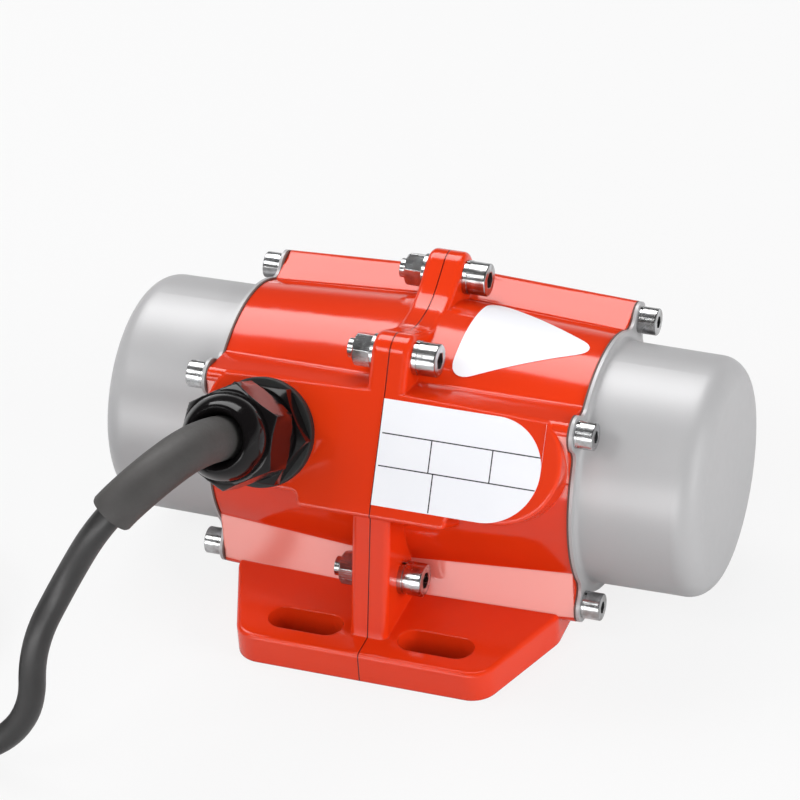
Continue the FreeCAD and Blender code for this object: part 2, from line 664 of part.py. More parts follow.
def make_stator():
    slot_low = STATOR_BORE_R + TOOTH_TIP
    slot_high = slot_low + STATOR_SLOT_DEPTH
    stack = ring(STATOR_R - FIT_PLAY, STATOR_BORE_R, -STACK_HALF_LENGTH, STACK_HALF_LENGTH)
    body = slot_block(slot_low, slot_high, STATOR_SLOT_WIDTH, STACK_HALF_LENGTH + 1, 0.6)
    mouth = slot_block(STATOR_BORE_R - 1, slot_low + 1, STATOR_SLOT_MOUTH, STACK_HALF_LENGTH + 1)
    opening = fuse(body, mouth)
    stack = stack.cut([radial(opening, i, SLOT_COUNT) for i in range(SLOT_COUNT)])
    save("stator_core", stack)

    long_half = STACK_HALF_LENGTH + LINER_OVERHANG
    skin = slot_block(slot_low + FIT_PLAY, slot_high - FIT_PLAY, STATOR_SLOT_WIDTH - 2 * FIT_PLAY,
                      long_half, 0.6)
    hollow = slot_block(slot_low + LINER_T, slot_high - LINER_T, STATOR_SLOT_WIDTH - 2 * LINER_T,
                        long_half + 1, 0.4)
    liner = skin.cut(hollow)
    save("slot_liners", *[radial(liner, i, SLOT_COUNT) for i in range(SLOT_COUNT)])

    low = slot_low + LINER_T + COIL_PLAY
    high = slot_high - LINER_T - COIL_PLAY
    width = STATOR_SLOT_WIDTH - 2 * (LINER_T + COIL_PLAY)
    head_start = long_half + COIL_PLAY
    head_end = STACK_HALF_LENGTH + COIL_HEAD_LENGTH
    bar = slot_block(low, high, width, head_start + 1)
    heads = [turned([(head_start, low, 1.0), (head_end, low, 2.5), (head_end, high, 2.5),
                     (head_start, high, 1.0)], side) for side in (-1, 1)]
    save("stator_windings", fuse(heads[0], heads[1], *[radial(bar, i, SLOT_COUNT) for i in range(SLOT_COUNT)]))


def make_rotor():
    radius = STATOR_BORE_R - AIR_GAP
    bar_circle = radius - 2 * ROTOR_BAR_R
    holes = [radial(rod(ROTOR_BAR_R + FIT_PLAY, -STACK_HALF_LENGTH - 1, STACK_HALF_LENGTH + 1, 0,
                        AXIS_HEIGHT + bar_circle), i, ROTOR_BARS) for i in range(ROTOR_BARS)]
    core = ring(radius, SHAFT_CORE_R + FIT_PLAY, -STACK_HALF_LENGTH, STACK_HALF_LENGTH).cut(holes)
    save("rotor_core", core)
    bars = [radial(rod(ROTOR_BAR_R, -STACK_HALF_LENGTH - 1, STACK_HALF_LENGTH + 1, 0,
                       AXIS_HEIGHT + bar_circle), i, ROTOR_BARS) for i in range(ROTOR_BARS)]
    ring_outer = radius - 0.4
    start, end = STACK_HALF_LENGTH, STACK_HALF_LENGTH + END_RING_LENGTH
    rings = [turned([(start, ring_outer - END_RING_WALL, 0), (end, ring_outer - END_RING_WALL, 0.8),
                     (end, ring_outer, 0.8), (start, ring_outer, 0)], side) for side in (-1, 1)]
    save("rotor_cage", fuse(rings[0], rings[1], *bars))


def key_block(start, width, height_from, height_to):
    return Part.makeBox(WEIGHT_T, width, height_to - height_from,
                        V(start, -width / 2, AXIS_HEIGHT - height_to))


def make_shaft():
    shaft = fuse(
        rod(SHAFT_R, -SHAFT_END, SHAFT_END),
        rod(SHAFT_SHOULDER_R, -(BEARING_FACE[-1] - BEARING_WIDTH), BEARING_FACE[1] - BEARING_WIDTH),
        rod(SHAFT_CORE_R, -SHAFT_SHOULDER_X, SHAFT_SHOULDER_X))
    tips = [e for e in shaft.Edges if abs(abs(e.CenterOfMass.x) - SHAFT_END) < 0.01]
    shaft = shaft.makeChamfer(SHAFT_CHAMFER, tips)
    cutters = []
    for side in (-1, 1):
        groove = ring(SHAFT_R + 1, SHAFT_R - CIRCLIP_DEPTH, CIRCLIP_START, CIRCLIP_START + CIRCLIP_T)
        keyway = key_block(WEIGHT_START, KEY_WIDTH, SHAFT_R - KEY_DEPTH, SHAFT_R + 1)
        cutters += [on_side(groove, side), on_side(keyway, side)]
    save("shaft", shaft.cut(cutters))


def ball_places(side):
    centre_x = side * (BEARING_FACE[side] - BEARING_WIDTH / 2)
    for i in range(BALL_COUNT):
        angle = 2 * math.pi * i / BALL_COUNT
        yield V(centre_x, BALL_CIRCLE_R * math.sin(angle), AXIS_HEIGHT + BALL_CIRCLE_R * math.cos(angle))


def make_bearing(side, name):
    end = BEARING_FACE[side]
    start = end - BEARING_WIDTH
    middle = (start + end) / 2
    race = Part.makeTorus(BALL_CIRCLE_R, BALL_R + BALL_PLAY, V(middle, 0, AXIS_HEIGHT), X_AXIS)
    outer = turned([(start, OUTER_RING_R, 0), (end, OUTER_RING_R, 0), (end, BEARING_R - FIT_PLAY, 0.6),
                    (start, BEARING_R - FIT_PLAY, 0.6)]).cut(race)
    inner = turned([(start, SHAFT_R + FIT_PLAY, 0.4), (end, SHAFT_R + FIT_PLAY, 0.4),
                    (end, INNER_RING_R, 0), (start, INNER_RING_R, 0)]).cut(race)
    save("bearing_outer_" + name, on_side(outer, side))
    save("bearing_inner_" + name, on_side(inner, side))
    save("bearing_balls_" + name, *[Part.makeSphere(BALL_R, p) for p in ball_places(side)])
    half = CAGE_WIDTH / 2
    cage = ring(BALL_CIRCLE_R + CAGE_WALL / 2, BALL_CIRCLE_R - CAGE_WALL / 2, middle - half, middle + half)
    pockets = [Part.makeSphere(BALL_R + BALL_PLAY, p) for p in ball_places(side)]
    save("bearing_cage_" + name, on_side(cage, side).cut(pockets))


def wave_spring():
    """Wave washer that preloads the right-hand bearing; drawn at its squeezed height."""
    start = BEARING_FACE[1]
    outer = BEARING_R - 0.4
    inner = OUTER_RING_R + 0.4
    sheet = 0.4
    lift = WAVE_SPRING_T - sheet
    waves = 3
    flat = ring(outer, inner, start, start + sheet)
    bumps = []
    for i in range(waves):
        bump = rod(1.4, start + sheet / 2, start + sheet + lift, 0, AXIS_HEIGHT + (outer + inner) / 2)
        bumps.append(radial(bump, i, waves))
    return fuse(flat, *bumps)


# ---------------------------------------------------------- eccentric weights
def weight(start, bore_r, keyed):
    """Clamped sector weight, heavy side down, with its pinch slit on top."""
    end = start + WEIGHT_T
    hub = rod(WEIGHT_HUB_R, start, end)
    sector = Part.makeCylinder(WEIGHT_R, WEIGHT_T, V(start, 0, AXIS_HEIGHT), X_AXIS, WEIGHT_SPREAD)
    sector.rotate(AXIS, X_AXIS, 180 - WEIGHT_SPREAD / 2 + sector_offset())
    corners = [(-CLAMP_WIDTH, AXIS_HEIGHT, 0), (CLAMP_WIDTH, AXIS_HEIGHT, 0),
               (CLAMP_WIDTH, AXIS_HEIGHT + CLAMP_HEIGHT, 2.0),
               (-CLAMP_WIDTH, AXIS_HEIGHT + CLAMP_HEIGHT, 2.0)]
    ears = prism(rounded_wire(corners, across(start)), V(WEIGHT_T, 0, 0))
    body = fuse(hub, sector, ears)
    middle = (start + end) / 2
    screw_z = AXIS_HEIGHT + CLAMP_SCREW_Z
    head_r = 0.875 * CLAMP_SCREW_D + 0.2
    cutters = [
        rod(bore_r, start - 1, end + 1),
        Part.makeBox(WEIGHT_T + 2, CLAMP_SLIT, CLAMP_HEIGHT + 1,
                     V(start - 1, -CLAMP_SLIT / 2, AXIS_HEIGHT)),
        Part.makeCylinder(CLAMP_SCREW_D / 2 + THREAD_PLAY, 2 * CLAMP_WIDTH + 2,
                          V(middle, -CLAMP_WIDTH - 1, screw_z), V(0, 1, 0)),
        Part.makeCylinder(head_r, CLAMP_SCREW_D, V(middle, CLAMP_WIDTH - 2.0, screw_z), V(0, 1, 0)),
    ]
    if keyed:
        cutters.append(key_block(start, KEY_WIDTH + 2 * FIT_PLAY, 0, SHAFT_R - KEY_DEPTH + KEY_HEIGHT + 0.1))
    return body.cut(cutters)


def sector_offset():
    """Turn from FreeCAD's sector start, which lies on +Y or +Z, to the +Z direction."""
    probe = Part.makeCylinder(1, 1, V(0, 0, 0), X_AXIS, 2.0).CenterOfMass
    return -math.degrees(math.atan2(-probe.y, probe.z)) + 1.0


def clamp_screw(start):
    middle = start + WEIGHT_T / 2
    screw = cap_screw(CLAMP_SCREW_D, 2 * CLAMP_WIDTH - 4.0, 0, 0, 0, 0.75 * CLAMP_SCREW_D)
    screw.rotate(V(0, 0, 0), Z_AXIS, 90)
    screw.translate(V(middle, CLAMP_WIDTH - 2.0, AXIS_HEIGHT + CLAMP_SCREW_Z))
    return screw


def make_weights():
    for side, name in ((1, "right"), (-1, "left")):
        fixed = weight(WEIGHT_START, SHAFT_R + FIT_PLAY, True)
        loose = weight(ADJUSTABLE_START, SHAFT_R + WEIGHT_PLAY, False)
        save("fixed_weight_" + name, on_side(fixed, side))
        save("adjustable_weight_" + name, on_side(loose, side))
        save("fixed_clamp_screw_" + name, on_side(clamp_screw(WEIGHT_START), side))
        save("adjustable_clamp_screw_" + name, on_side(clamp_screw(ADJUSTABLE_START), side))
        sleeve = ring(SHAFT_R + SLEEVE_WALL, SHAFT_R + FIT_PLAY, BEARING_FACE[side], WEIGHT_START)
        save("spacer_sleeve_" + name, on_side(sleeve, side))
        washer = ring(END_WASHER_R, SHAFT_R + FIT_PLAY, END_WASHER_START, CIRCLIP_START)
        save("end_washer_" + name, on_side(washer, side))
        circlip = ring(SHAFT_R + CIRCLIP_WALL, SHAFT_R - CIRCLIP_DEPTH + FIT_PLAY, CIRCLIP_START,
                       CIRCLIP_START + CIRCLIP_T)
        gap = Part.makeBox(CIRCLIP_T + 2, 5.0, SHAFT_R + CIRCLIP_WALL + 1,
                           V(CIRCLIP_START - 1, -2.5, AXIS_HEIGHT))
        save("circlip_" + name, on_side(circlip.cut(gap), side))
        key = key_block(WEIGHT_START, KEY_WIDTH - 2 * FIT_PLAY, SHAFT_R - KEY_DEPTH,
                        SHAFT_R - KEY_DEPTH + KEY_HEIGHT)
        save("weight_key_" + name, on_side(key, side))


# ---------------------------------------------------------------- cable gland
def gland_bore(radius):
    """Cutter through the whole height of the gland."""
    return Part.makeCylinder(radius, GLAND_THREAD_DEPTH + GLAND_TOP + 2, V(0, 0, -GLAND_THREAD_DEPTH - 1))


def make_gland():
    engaged = GLAND_THREAD_DEPTH - GLAND_THREAD_RUNOUT
    seal = Part.makeCylinder(GLAND_SEAL_R, GLAND_SEAL_T)
    seal = seal.makeFillet(0.5, edges_at(seal, lambda p: p.z > GLAND_SEAL_T / 2))
    save("gland_washer", on_pad(seal.cut(gland_bore(GLAND_THREAD_R + THREAD_PLAY))))

    thread = Part.makeCylinder(GLAND_THREAD_R, engaged + GLAND_BODY_TOP, V(0, 0, -engaged))
    hexa = hexagon(GLAND_AF, GLAND_BODY_HEIGHT, V(0, 0, GLAND_SEAL_T), Z_AXIS, 0.3)
    neck_r = GLAND_NOSE_R - GLAND_WALL
    neck = Part.makeCylinder(neck_r, GLAND_NUT_HEIGHT, V(0, 0, GLAND_BODY_TOP))
    save("gland_body", on_pad(fuse(thread, hexa, neck).cut(gland_bore(CABLE_D / 2 + GLAND_BORE_PLAY))))

    insert = Part.makeCylinder(neck_r - 0.2, CORD_START - GLAND_NUT_TOP, V(0, 0, GLAND_NUT_TOP))
    save("gland_insert", on_pad(insert.cut(gland_bore(CABLE_D / 2 + FIT_PLAY))))
    entry = Part.makeCylinder(CABLE_D / 2, CORD_START + ENTRY_DEPTH, V(0, 0, -ENTRY_DEPTH))
    save("cable_entry", on_pad(entry))

    nut = hexagon(GLAND_AF, GLAND_NUT_HEIGHT, V(0, 0, GLAND_BODY_TOP), Z_AXIS, 0.5)
    corners = [(0, GLAND_NUT_TOP - 1, 0), (GLAND_NOSE_R, GLAND_NUT_TOP - 1, 0),
               (GLAND_NOSE_R, GLAND_NUT_TOP + GLAND_NOSE_HEIGHT * NOSE_WAIST, 5.0),
               (GLAND_NOSE_TIP_R, GLAND_TOP, 1.6), (0, GLAND_TOP, 0)]
    nose = Part.Face(rounded_wire(corners, lambda u, v: V(u, 0, v))).revolve(V(0, 0, 0), Z_AXIS, 360)
    socket = Part.makeCylinder(neck_r + THREAD_PLAY, CORD_START - GLAND_BODY_TOP + 1,
                               V(0, 0, GLAND_BODY_TOP - 1))
    mouth = Part.makeCylinder(SLEEVE_D / 2 + 0.15, GLAND_TOP, V(0, 0, GLAND_BODY_TOP))
    save("gland_nut", on_pad(fuse(nut, nose).cut([socket, mouth])))


# ---------------------------------------------------------------------- cable
def pad_axis_point(height):
    return V(GLAND_X, PAD_CENTRE.y, PAD_CENTRE.z) + PAD_NORMAL * height


def route_edges(points):
    """Straight runs joined by tangent arcs; prints each arc's radius."""
    edges = []
    start = points[0]
    for i in range(1, len(points) - 1):
        corner = points[i]
        before = points[i - 1] - corner
        after = points[i + 1] - corner
        shorter = min(before.Length, after.Length)
        before.normalize()
        after.normalize()
        half_turn = (math.pi - before.getAngle(after)) / 2
        reach = 0.45 * shorter
        radius = reach / math.tan(half_turn)
        print("bend %d: radius %.1f mm" % (i, radius))
        bisector = before + after
        bisector.normalize()
        middle = corner + bisector * (radius / math.cos(half_turn) - radius)
        edges.append(Part.LineSegment(start, corner + before * reach).toShape())
        edges.append(Part.Arc(corner + before * reach, middle, corner + after * reach).toShape())
        start = corner + after * reach
    edges.append(Part.LineSegment(start, points[-1]).toShape())
    return edges


def tube(edges, radius):
    first = edges[0]
    direction = first.tangentAt(first.FirstParameter)
    section = Part.Wire(Part.makeCircle(radius, first.valueAt(first.FirstParameter), direction))
    return Part.Wire(edges).makePipeShell([section], True, False)


def make_cable():
    points = [pad_axis_point(CORD_START), pad_axis_point(CORD_START + CABLE_STRAIGHT)] + CABLE_POINTS
    edges = route_edges(points)
    run = tube(edges, CABLE_D / 2)
    length = sum(e.Length for e in edges)
    print("cable run: length %.1f, volume ratio %.4f"
          % (length, run.Volume / (math.pi * CABLE_D ** 2 / 4 * length)))
    save("cable_run", run)

    last = edges[2 * SLEEVE_RUN]
    begin = last.valueAt(last.FirstParameter)
    finish = last.valueAt(last.LastParameter)
    cut_end = begin + (finish - begin) * SLEEVE_SHARE
    sleeve_edges = edges[:2 * SLEEVE_RUN] + [Part.LineSegment(begin, cut_end).toShape()]
    print("sleeve length %.1f" % sum(e.Length for e in sleeve_edges))
    sleeve = tube(sleeve_edges, SLEEVE_D / 2).cut(tube(sleeve_edges, CABLE_D / 2 + SLEEVE_CABLE_PLAY))
    save("cable_sleeve", sleeve)

    radius = CABLE_D / 2
    inner = COIL_MEAN_R - CABLE_D
    outer = COIL_MEAN_R + CABLE_D
    base = COIL_CENTRE + V(0, 0, FLOOR_PLAY)
    height = COIL_LAYERS * CABLE_D
    coil = Part.makeCylinder(outer, height, base).cut(
        Part.makeCylinder(inner, height + 2, base - V(0, 0, 1)))
    rims = [e for e in coil.Edges if len(e.Vertexes) == 1]
    save("cable_coil", coil.makeFillet(COIL_RIM_R, rims))

    angle = math.radians(TAIL_ANGLE)
    outward = V(math.cos(angle), math.sin(angle), 0)
    heading = V(math.sin(angle), -math.cos(angle), 0)
    start = COIL_CENTRE + outward * (COIL_MEAN_R + radius) + heading * TAIL_START
    start += V(0, 0, radius + FLOOR_PLAY)
    tail = Part.makeCylinder(radius, TAIL_LENGTH, start, heading)
    save("cable_tail", tail)
    tail_end = start + heading * TAIL_LENGTH
    cores = []
    ferrules = []
    for i in range(CORE_COUNT):
        around = math.radians(90 + 360 / CORE_COUNT * i)
        offset = (outward * math.cos(around) + Z_AXIS * math.sin(around)) * CORE_CIRCLE_R
        cores.append(Part.makeCylinder(CORE_D / 2, CORE_LENGTH, tail_end + offset, heading))
        ferrules.append(Part.makeCylinder(FERRULE_D / 2, FERRULE_LENGTH,
                                          tail_end + offset + heading * CORE_LENGTH, heading))
    save("cable_cores", *cores)
    save("core_ferrules", *ferrules)


def main():
    os.makedirs("parts", exist_ok=True)
    save("housing_right", housing(1))
    save("housing_left", housing(-1))
    for side, name in ((1, "right"), (-1, "left")):
        save("cover_gasket_" + name, on_side(gasket(), side))
        save("cover_" + name, on_side(cover(), side))
        make_bearing(side, name)
    make_fasteners()
    make_stator()
    make_rotor()
    make_shaft()
    save("wave_spring", wave_spring())
    make_weights()
    make_gland()
    make_cable()


main()
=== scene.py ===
import json
import math

import bmesh
import bpy
from mathutils import Matrix, Vector


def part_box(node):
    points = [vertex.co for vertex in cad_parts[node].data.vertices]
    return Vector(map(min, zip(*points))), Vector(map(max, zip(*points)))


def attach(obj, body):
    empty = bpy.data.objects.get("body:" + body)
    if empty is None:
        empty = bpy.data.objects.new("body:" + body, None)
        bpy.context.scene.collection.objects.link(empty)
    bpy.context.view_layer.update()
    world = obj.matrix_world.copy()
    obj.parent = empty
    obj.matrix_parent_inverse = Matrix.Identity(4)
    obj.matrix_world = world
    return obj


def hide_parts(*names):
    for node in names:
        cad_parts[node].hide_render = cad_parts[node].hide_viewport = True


# Vibration motor: finishes, sloped rib tops, gland nut, printed plates and the supply lead,
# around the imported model.
# Metres, +Z up, shaft along X, cable gland on the left half, facing -Y.

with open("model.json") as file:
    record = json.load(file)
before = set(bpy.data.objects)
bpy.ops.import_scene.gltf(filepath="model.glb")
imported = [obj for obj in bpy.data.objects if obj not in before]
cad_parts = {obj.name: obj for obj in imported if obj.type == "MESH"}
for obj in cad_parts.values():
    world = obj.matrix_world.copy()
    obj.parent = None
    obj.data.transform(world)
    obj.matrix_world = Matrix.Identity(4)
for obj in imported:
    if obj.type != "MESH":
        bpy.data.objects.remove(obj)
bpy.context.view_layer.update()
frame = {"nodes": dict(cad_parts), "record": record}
nodes = frame["nodes"]

MM = 0.001

# ------------------------------------------------------------ driving values
AXIS = Vector((0, 0, (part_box("shaft")[0].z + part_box("shaft")[1].z) / 2))
PAD_TILT = math.radians(31.3)
PAD_NORMAL = Vector((0, -math.cos(PAD_TILT), math.sin(PAD_TILT)))
PAD_SLOPE = Vector((0, math.sin(PAD_TILT), math.cos(PAD_TILT)))
PAD_OFFSET = -2.6 * MM          # gland axis along the pad's slope
PAD_CLEAR_X = 20 * MM           # beyond this only the pad stands this far from the axis
PAD_DISTANCE = max((v.co - AXIS).dot(PAD_NORMAL)
                   for v in nodes["housing_right"].data.vertices if v.co.x > PAD_CLEAR_X)

HALF_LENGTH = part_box("housing_right")[1].x     # parting plane to the end face
BARREL_R = 35.7 * MM
BARREL_DRAFT = 2.5 * MM         # lost on the radius over one half
RIB_HALF = 31.7 * MM            # half the width over the screw ribs
RIB_DRAFT = 1.4 * MM
RIB_SLOPE = 0.20                # fall of the upper ribs' tops towards the barrel
FLANGE_FACE = 4.95 * MM         # the rib tops slope beyond the flange
RIB_ROOT_TURN = math.radians(6)         # turn of the shading on the barrel's last strip
RIB_EDGE = 2.9 * MM             # level strip left along their outer edges
RIB_BLEND = 1.1 * MM            # reach of the root rounding on the barrel
RIB_PLAY = 0.1 * MM             # how far off its level a rib top's point may lie
RIB_ROOT_STEPS = 30
WELD = 0.0005 * MM
MOVED = 0.01 * MM               # a point that went further counts as moved
FACING_UP = 0.99
FACING_END = 0.5
FACING_SIDE = 0.995
FLANK_LEAN = 0.37               # upward lean of the shading on the ribs' side faces
FLANK_PAINTED_SHEEN = 0.3               # share of a paler colour on them, a painted reflection
FLANK_PLAY = 0.12 * MM
JOINT_HALF = 0.13 * MM          # half the dark line between the halves

SLOTS_HALF_X = 29.5 * MM        # floor under the foot, to just past its slots, given painted shade
SLOTS_HALF_Y = 55.5 * MM

GLAND_X = (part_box("gland_nut")[0].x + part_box("gland_nut")[1].x) / 2
NUT_HALF = 11.7                 # gland nut: half across flats, millimetres, as are its rings
NUT_SIDES = 120
NUT_RINGS = [                   # (height over the pad, radius), held inside the hexagon
    (7.7, 8.0), (7.7, 11.5), (10.9, 11.5), (10.9, 12.4), (11.5, 13.0), (12.1, 13.6),
    (22.5, 13.6), (22.9, 13.2), (23.3, 12.8), (23.7, 12.4), (24.1, 12.0), (24.5, 11.6),
    (24.6, 11.1), (24.4, 10.9), (24.9, 10.85), (26.1, 10.8), (27.3, 10.65), (28.5, 10.3),
    (29.6, 9.8), (30.6, 9.2), (31.3, 8.65), (31.7, 8.2), (31.85, 7.75), (31.7, 7.3),
    (31.3, 6.9), (30.7, 6.55), (29.9, 6.25), (28.8, 6.0), (27.5, 5.85), (26.05, 5.8),
    (26.05, 8.0),
]

PLATE_X = (0.15 * MM, 42.4 * MM)        # rating plate, from the parting line
PLATE_V = (-13.5 * MM, 13.2 * MM)
PLATE_END_R = 14.6 * MM
PLATE_TOP_R = 12.0 * MM
PLATE_T = 0.2 * MM
PLATE_RULES = [                 # (start, end) in plate coordinates, millimetres
    ((0.9, 4.7), (42.0, 4.7)),
    ((0.9, -3.5), (41.4, -3.5)),
    ((13.8, -3.5), (13.8, 4.7)),
    ((29.7, -3.5), (29.7, 4.7)),
    ((15.1, -13.1), (15.1, -3.5)),
]
RULE_WIDTH = 0.32               # millimetres

STICKER_X = (12.4 * MM, 47.3 * MM)      # sharp corners, before they are rounded
STICKER_ANGLE = math.radians(90.5)      # about the shaft, from +Y
STICKER_HALF_WIDTH = 19.6 * MM
STICKER_CORNER = 6.6 * MM
STICKER_T = 0.15 * MM
STICKER_LIFT = 0.02 * MM
STICKER_STRIPS = 28

CABLE_D = 6.7 * MM
SLEEVE_D = 11.2 * MM
SLEEVE_LENGTH = 45 * MM
SLEEVE_PLAY = 0.12 * MM
SLEEVE_SIDES = 40
FLOOR_PLAY = 0.1 * MM
COIL_CENTRE = Vector((-141.0, -78.0, 0)) * MM
COIL_INNER_R = 34.15 * MM
COIL_TURN_POINTS = 24
TAIL_TURN = math.radians(1170)
CORD_RISE = 26 * MM             # pad face to the mouth of the gland's insert
SECOND_POINT = 15.8 * MM        # straight out of the gland before the lead bends
CABLE_ROUTE = [                 # control points of the lead, gland to coil, millimetres
    (-36.4, -88.1, 76.8),
    (-46.3, -98.7, 68.3),
    (-56.3, -101.4, 50.7),
    (-62.5, -110.9, 37.0),
    (-63.5, -113.4, 17.2),
    (-77.7, -115.2, 3.5),
    (-97.5, -117.1, 3.45),
    (-118.0, -118.9, 3.45),
]

CAMERA_LENS = 171.31            # millimetres, on a sensor 36 wide
CAMERA_PLACE = (0.29949, -0.74496, 0.59950)
CAMERA_TURN = math.radians(22.43)
CAMERA_TIP = math.radians(90 - 34.55)
CAMERA_ROLL = math.radians(-4.17)

FLOOR_HALF = 3
FLOOR_DROP = 0.2 * MM
FLOOR_WHITE = 0.84              # share of plain white that the camera sees
FLOOR_MIRRORED = 0.3            # share of it in reflections
WORLD_LOW_BAND = 0.22           # height over which the mirrored white falls
WORLD_DIM = 0.10
WORLD_SOFT = 0.22


# ------------------------------------------------------------------ camera
def link(name, data):
    """A new object in the scene."""
    made = bpy.data.objects.new(name, data)
    bpy.context.scene.collection.objects.link(made)
    return made


def make_camera():
    camera = link("camera", bpy.data.cameras.new("camera"))
    camera.data.lens = CAMERA_LENS
    camera.data.sensor_width = 36
    turn = Matrix.Rotation(CAMERA_TURN, 4, "Z")
    tip = Matrix.Rotation(CAMERA_TIP, 4, "X")
    roll = Matrix.Rotation(CAMERA_ROLL, 4, "Z")
    camera.matrix_world = Matrix.Translation(CAMERA_PLACE) @ turn @ tip @ roll
    bpy.context.scene.camera = camera


# ------------------------------------------------------- node-tree helpers
def feed(tree, node, inputs):
    """Links an input given as a socket, and sets any other."""
    for name, value in (inputs or {}).items():
        if isinstance(value, bpy.types.NodeSocket):
            tree.links.new(value, node.inputs[name])
        else:
            node.inputs[name].default_value = value


def put(tree, kind, inputs=None, **settings):
    """Adds a shader node with its settings and inputs."""
    node = tree.nodes.new("ShaderNode" + kind)
    for name, value in settings.items():
        setattr(node, name, value)
    feed(tree, node, inputs)
    return node


def calc(tree, operation, *values):
    """Result of a Math node."""
    return put(tree, "Math", dict(enumerate(values)), operation=operation).outputs[0]


def blend(tree, share, one, other):
    """Two colours mixed, by the share of the other."""
    return put(tree, "Mix", {0: share, 6: one, 7: other}, data_type="RGBA").outputs[2]


def place_of(tree):
    """Object coordinates."""
    return put(tree, "TexCoord").outputs["Object"]


def new_group(name, inputs, outputs):
    group = bpy.data.node_groups.new(name, "ShaderNodeTree")
    for label, kind, value in inputs:
        socket = group.interface.new_socket(label, in_out="INPUT",
                                            socket_type="NodeSocket" + kind)
        socket.default_value = value
    for label, kind in outputs:
        group.interface.new_socket(label, in_out="OUTPUT", socket_type="NodeSocket" + kind)
    given = group.nodes.new("NodeGroupInput").outputs
    return group, given, group.nodes.new("NodeGroupOutput").inputs


def place_group(tree, group, inputs=None):
    node = tree.nodes.new("ShaderNodeGroup")
    node.node_tree = group
    feed(tree, node, inputs)
    return node.outputs


def rgb(red, green, blue):
    """Linear colour of a swatch given in 0 to 255 display values."""
    def linear(value):
        c = value / 255
        return c / 12.92 if c <= 0.04045 else ((c + 0.055) / 1.055) ** 2.4
    return (linear(red), linear(green), linear(blue), 1.0)


# ---------------------------------------------------------- shared effects
def tone_group():
    """Slow, uneven drift of a colour over the surface."""
    group, given, result = new_group(
        "uneven_tone",
        [("Colour", "Color", (0.8, 0.8, 0.8, 1)), ("Other", "Color", (0.6, 0.6, 0.6, 1)),
         ("Scale", "Float", 40.0), ("Amount", "Float", 0.5)],
        [("Colour", "Color")])
    place = place_of(group)
    noise = put(group, "TexNoise", {"Vector": place, "Scale": given["Scale"], "Detail": 4.0})
    spread = put(group, "MapRange", {"Value": noise.outputs["Fac"], "From Min": 0.3,
                                     "From Max": 0.7}).outputs[0]
    share = calc(group, "MULTIPLY", spread, given["Amount"])
    mixed = blend(group, share, given["Colour"], given["Other"])
    group.links.new(mixed, result["Colour"])
    return group


def grain_group():
    """Fine grain, drawn out along an axis by Stretch, with a second coarser layer."""
    group, given, result = new_group(
        "fine_grain",
        [("Stretch", "Vector", (1, 1, 1)), ("Scale", "Float", 900.0), ("Coarse", "Float", 0.4)],
        [("Height", "Float")])
    place = place_of(group)
    drawn = put(group, "VectorMath", {0: place, 1: given["Stretch"]},
                operation="MULTIPLY").outputs[0]
    fine = put(group, "TexNoise", {"Vector": drawn, "Scale": given["Scale"], "Detail": 2.0})
    coarser = calc(group, "MULTIPLY", given["Scale"], 0.17)
    wide = put(group, "TexNoise", {"Vector": drawn, "Scale": coarser, "Detail": 1.0})
    both = put(group, "Mix", {0: given["Coarse"], 2: fine.outputs["Fac"],
                              3: wide.outputs["Fac"]})
    group.links.new(both.outputs[0], result["Height"])
    return group


def edge_group():
    """Mask of the outer edges and a normal that rounds every edge by Radius."""
    group, given, result = new_group(
        "rounded_edges",
        [("Radius", "Float", 0.0006)],
        [("Mask", "Float"), ("Normal", "Vector")])
    soft = put(group, "Bevel", {"Radius": given["Radius"]}, samples=6).outputs["Normal"]
    flat = put(group, "NewGeometry").outputs["Normal"]
    alike = put(group, "VectorMath", {0: soft, 1: flat},
                operation="DOT_PRODUCT").outputs["Value"]
    mask = put(group, "MapRange", {"Value": alike, "From Min": 0.995, "From Max": 0.85})
    group.links.new(mask.outputs[0], result["Mask"])
    group.links.new(soft, result["Normal"])
    return group


def scuff_group():
    """Scattered short scuffs, as handling leaves on metal and moulded parts."""
    group, given, result = new_group(
        "scuffs",
        [("Scale", "Float", 60.0), ("Amount", "Float", 0.5)],
        [("Mask", "Float")])
    place = place_of(group)
    bent = put(group, "TexNoise", {"Vector": place, "Scale": given["Scale"], "Detail": 3.0})
    strokes = put(group, "TexVoronoi", {"Vector": bent.outputs["Color"], "Scale": 9.0},
                  feature="DISTANCE_TO_EDGE").outputs["Distance"]
    thin = put(group, "MapRange", {"Value": strokes, "From Min": 0.03,
                                   "From Max": 0.0}).outputs[0]
    patch = put(group, "TexNoise", {"Vector": place, "Scale": 35.0, "Detail": 2.0})
    where = put(group, "MapRange", {"Value": patch.outputs["Fac"], "From Min": 0.52,
                                    "From Max": 0.66}).outputs[0]
    local = calc(group, "MULTIPLY", thin, where)
    weighed = calc(group, "MULTIPLY", local, given["Amount"])
    group.links.new(weighed, result["Mask"])
    return group


TONE = tone_group()
GRAIN = grain_group()
EDGES = edge_group()
SCUFFS = scuff_group()


def start_material(name):
    material = bpy.data.materials.new(name)
    material.use_nodes = True
    tree = material.node_tree
    shader = tree.nodes["Principled BSDF"]
    return material, tree, shader


def bump(tree, height, depth, strength=1.0, normal=None):
    inputs = {"Height": height, "Distance": depth, "Strength": strength}
    if normal is not None:
        inputs["Normal"] = normal
    return put(tree, "Bump", inputs).outputs["Normal"]


def spread_roughness(tree, shader, mask, low, high):
    ranged = put(tree, "MapRange", {"Value": mask, "From Min": 0.25, "From Max": 0.75,
                                    "To Min": low, "To Max": high})
    tree.links.new(ranged.outputs[0], shader.inputs["Roughness"])


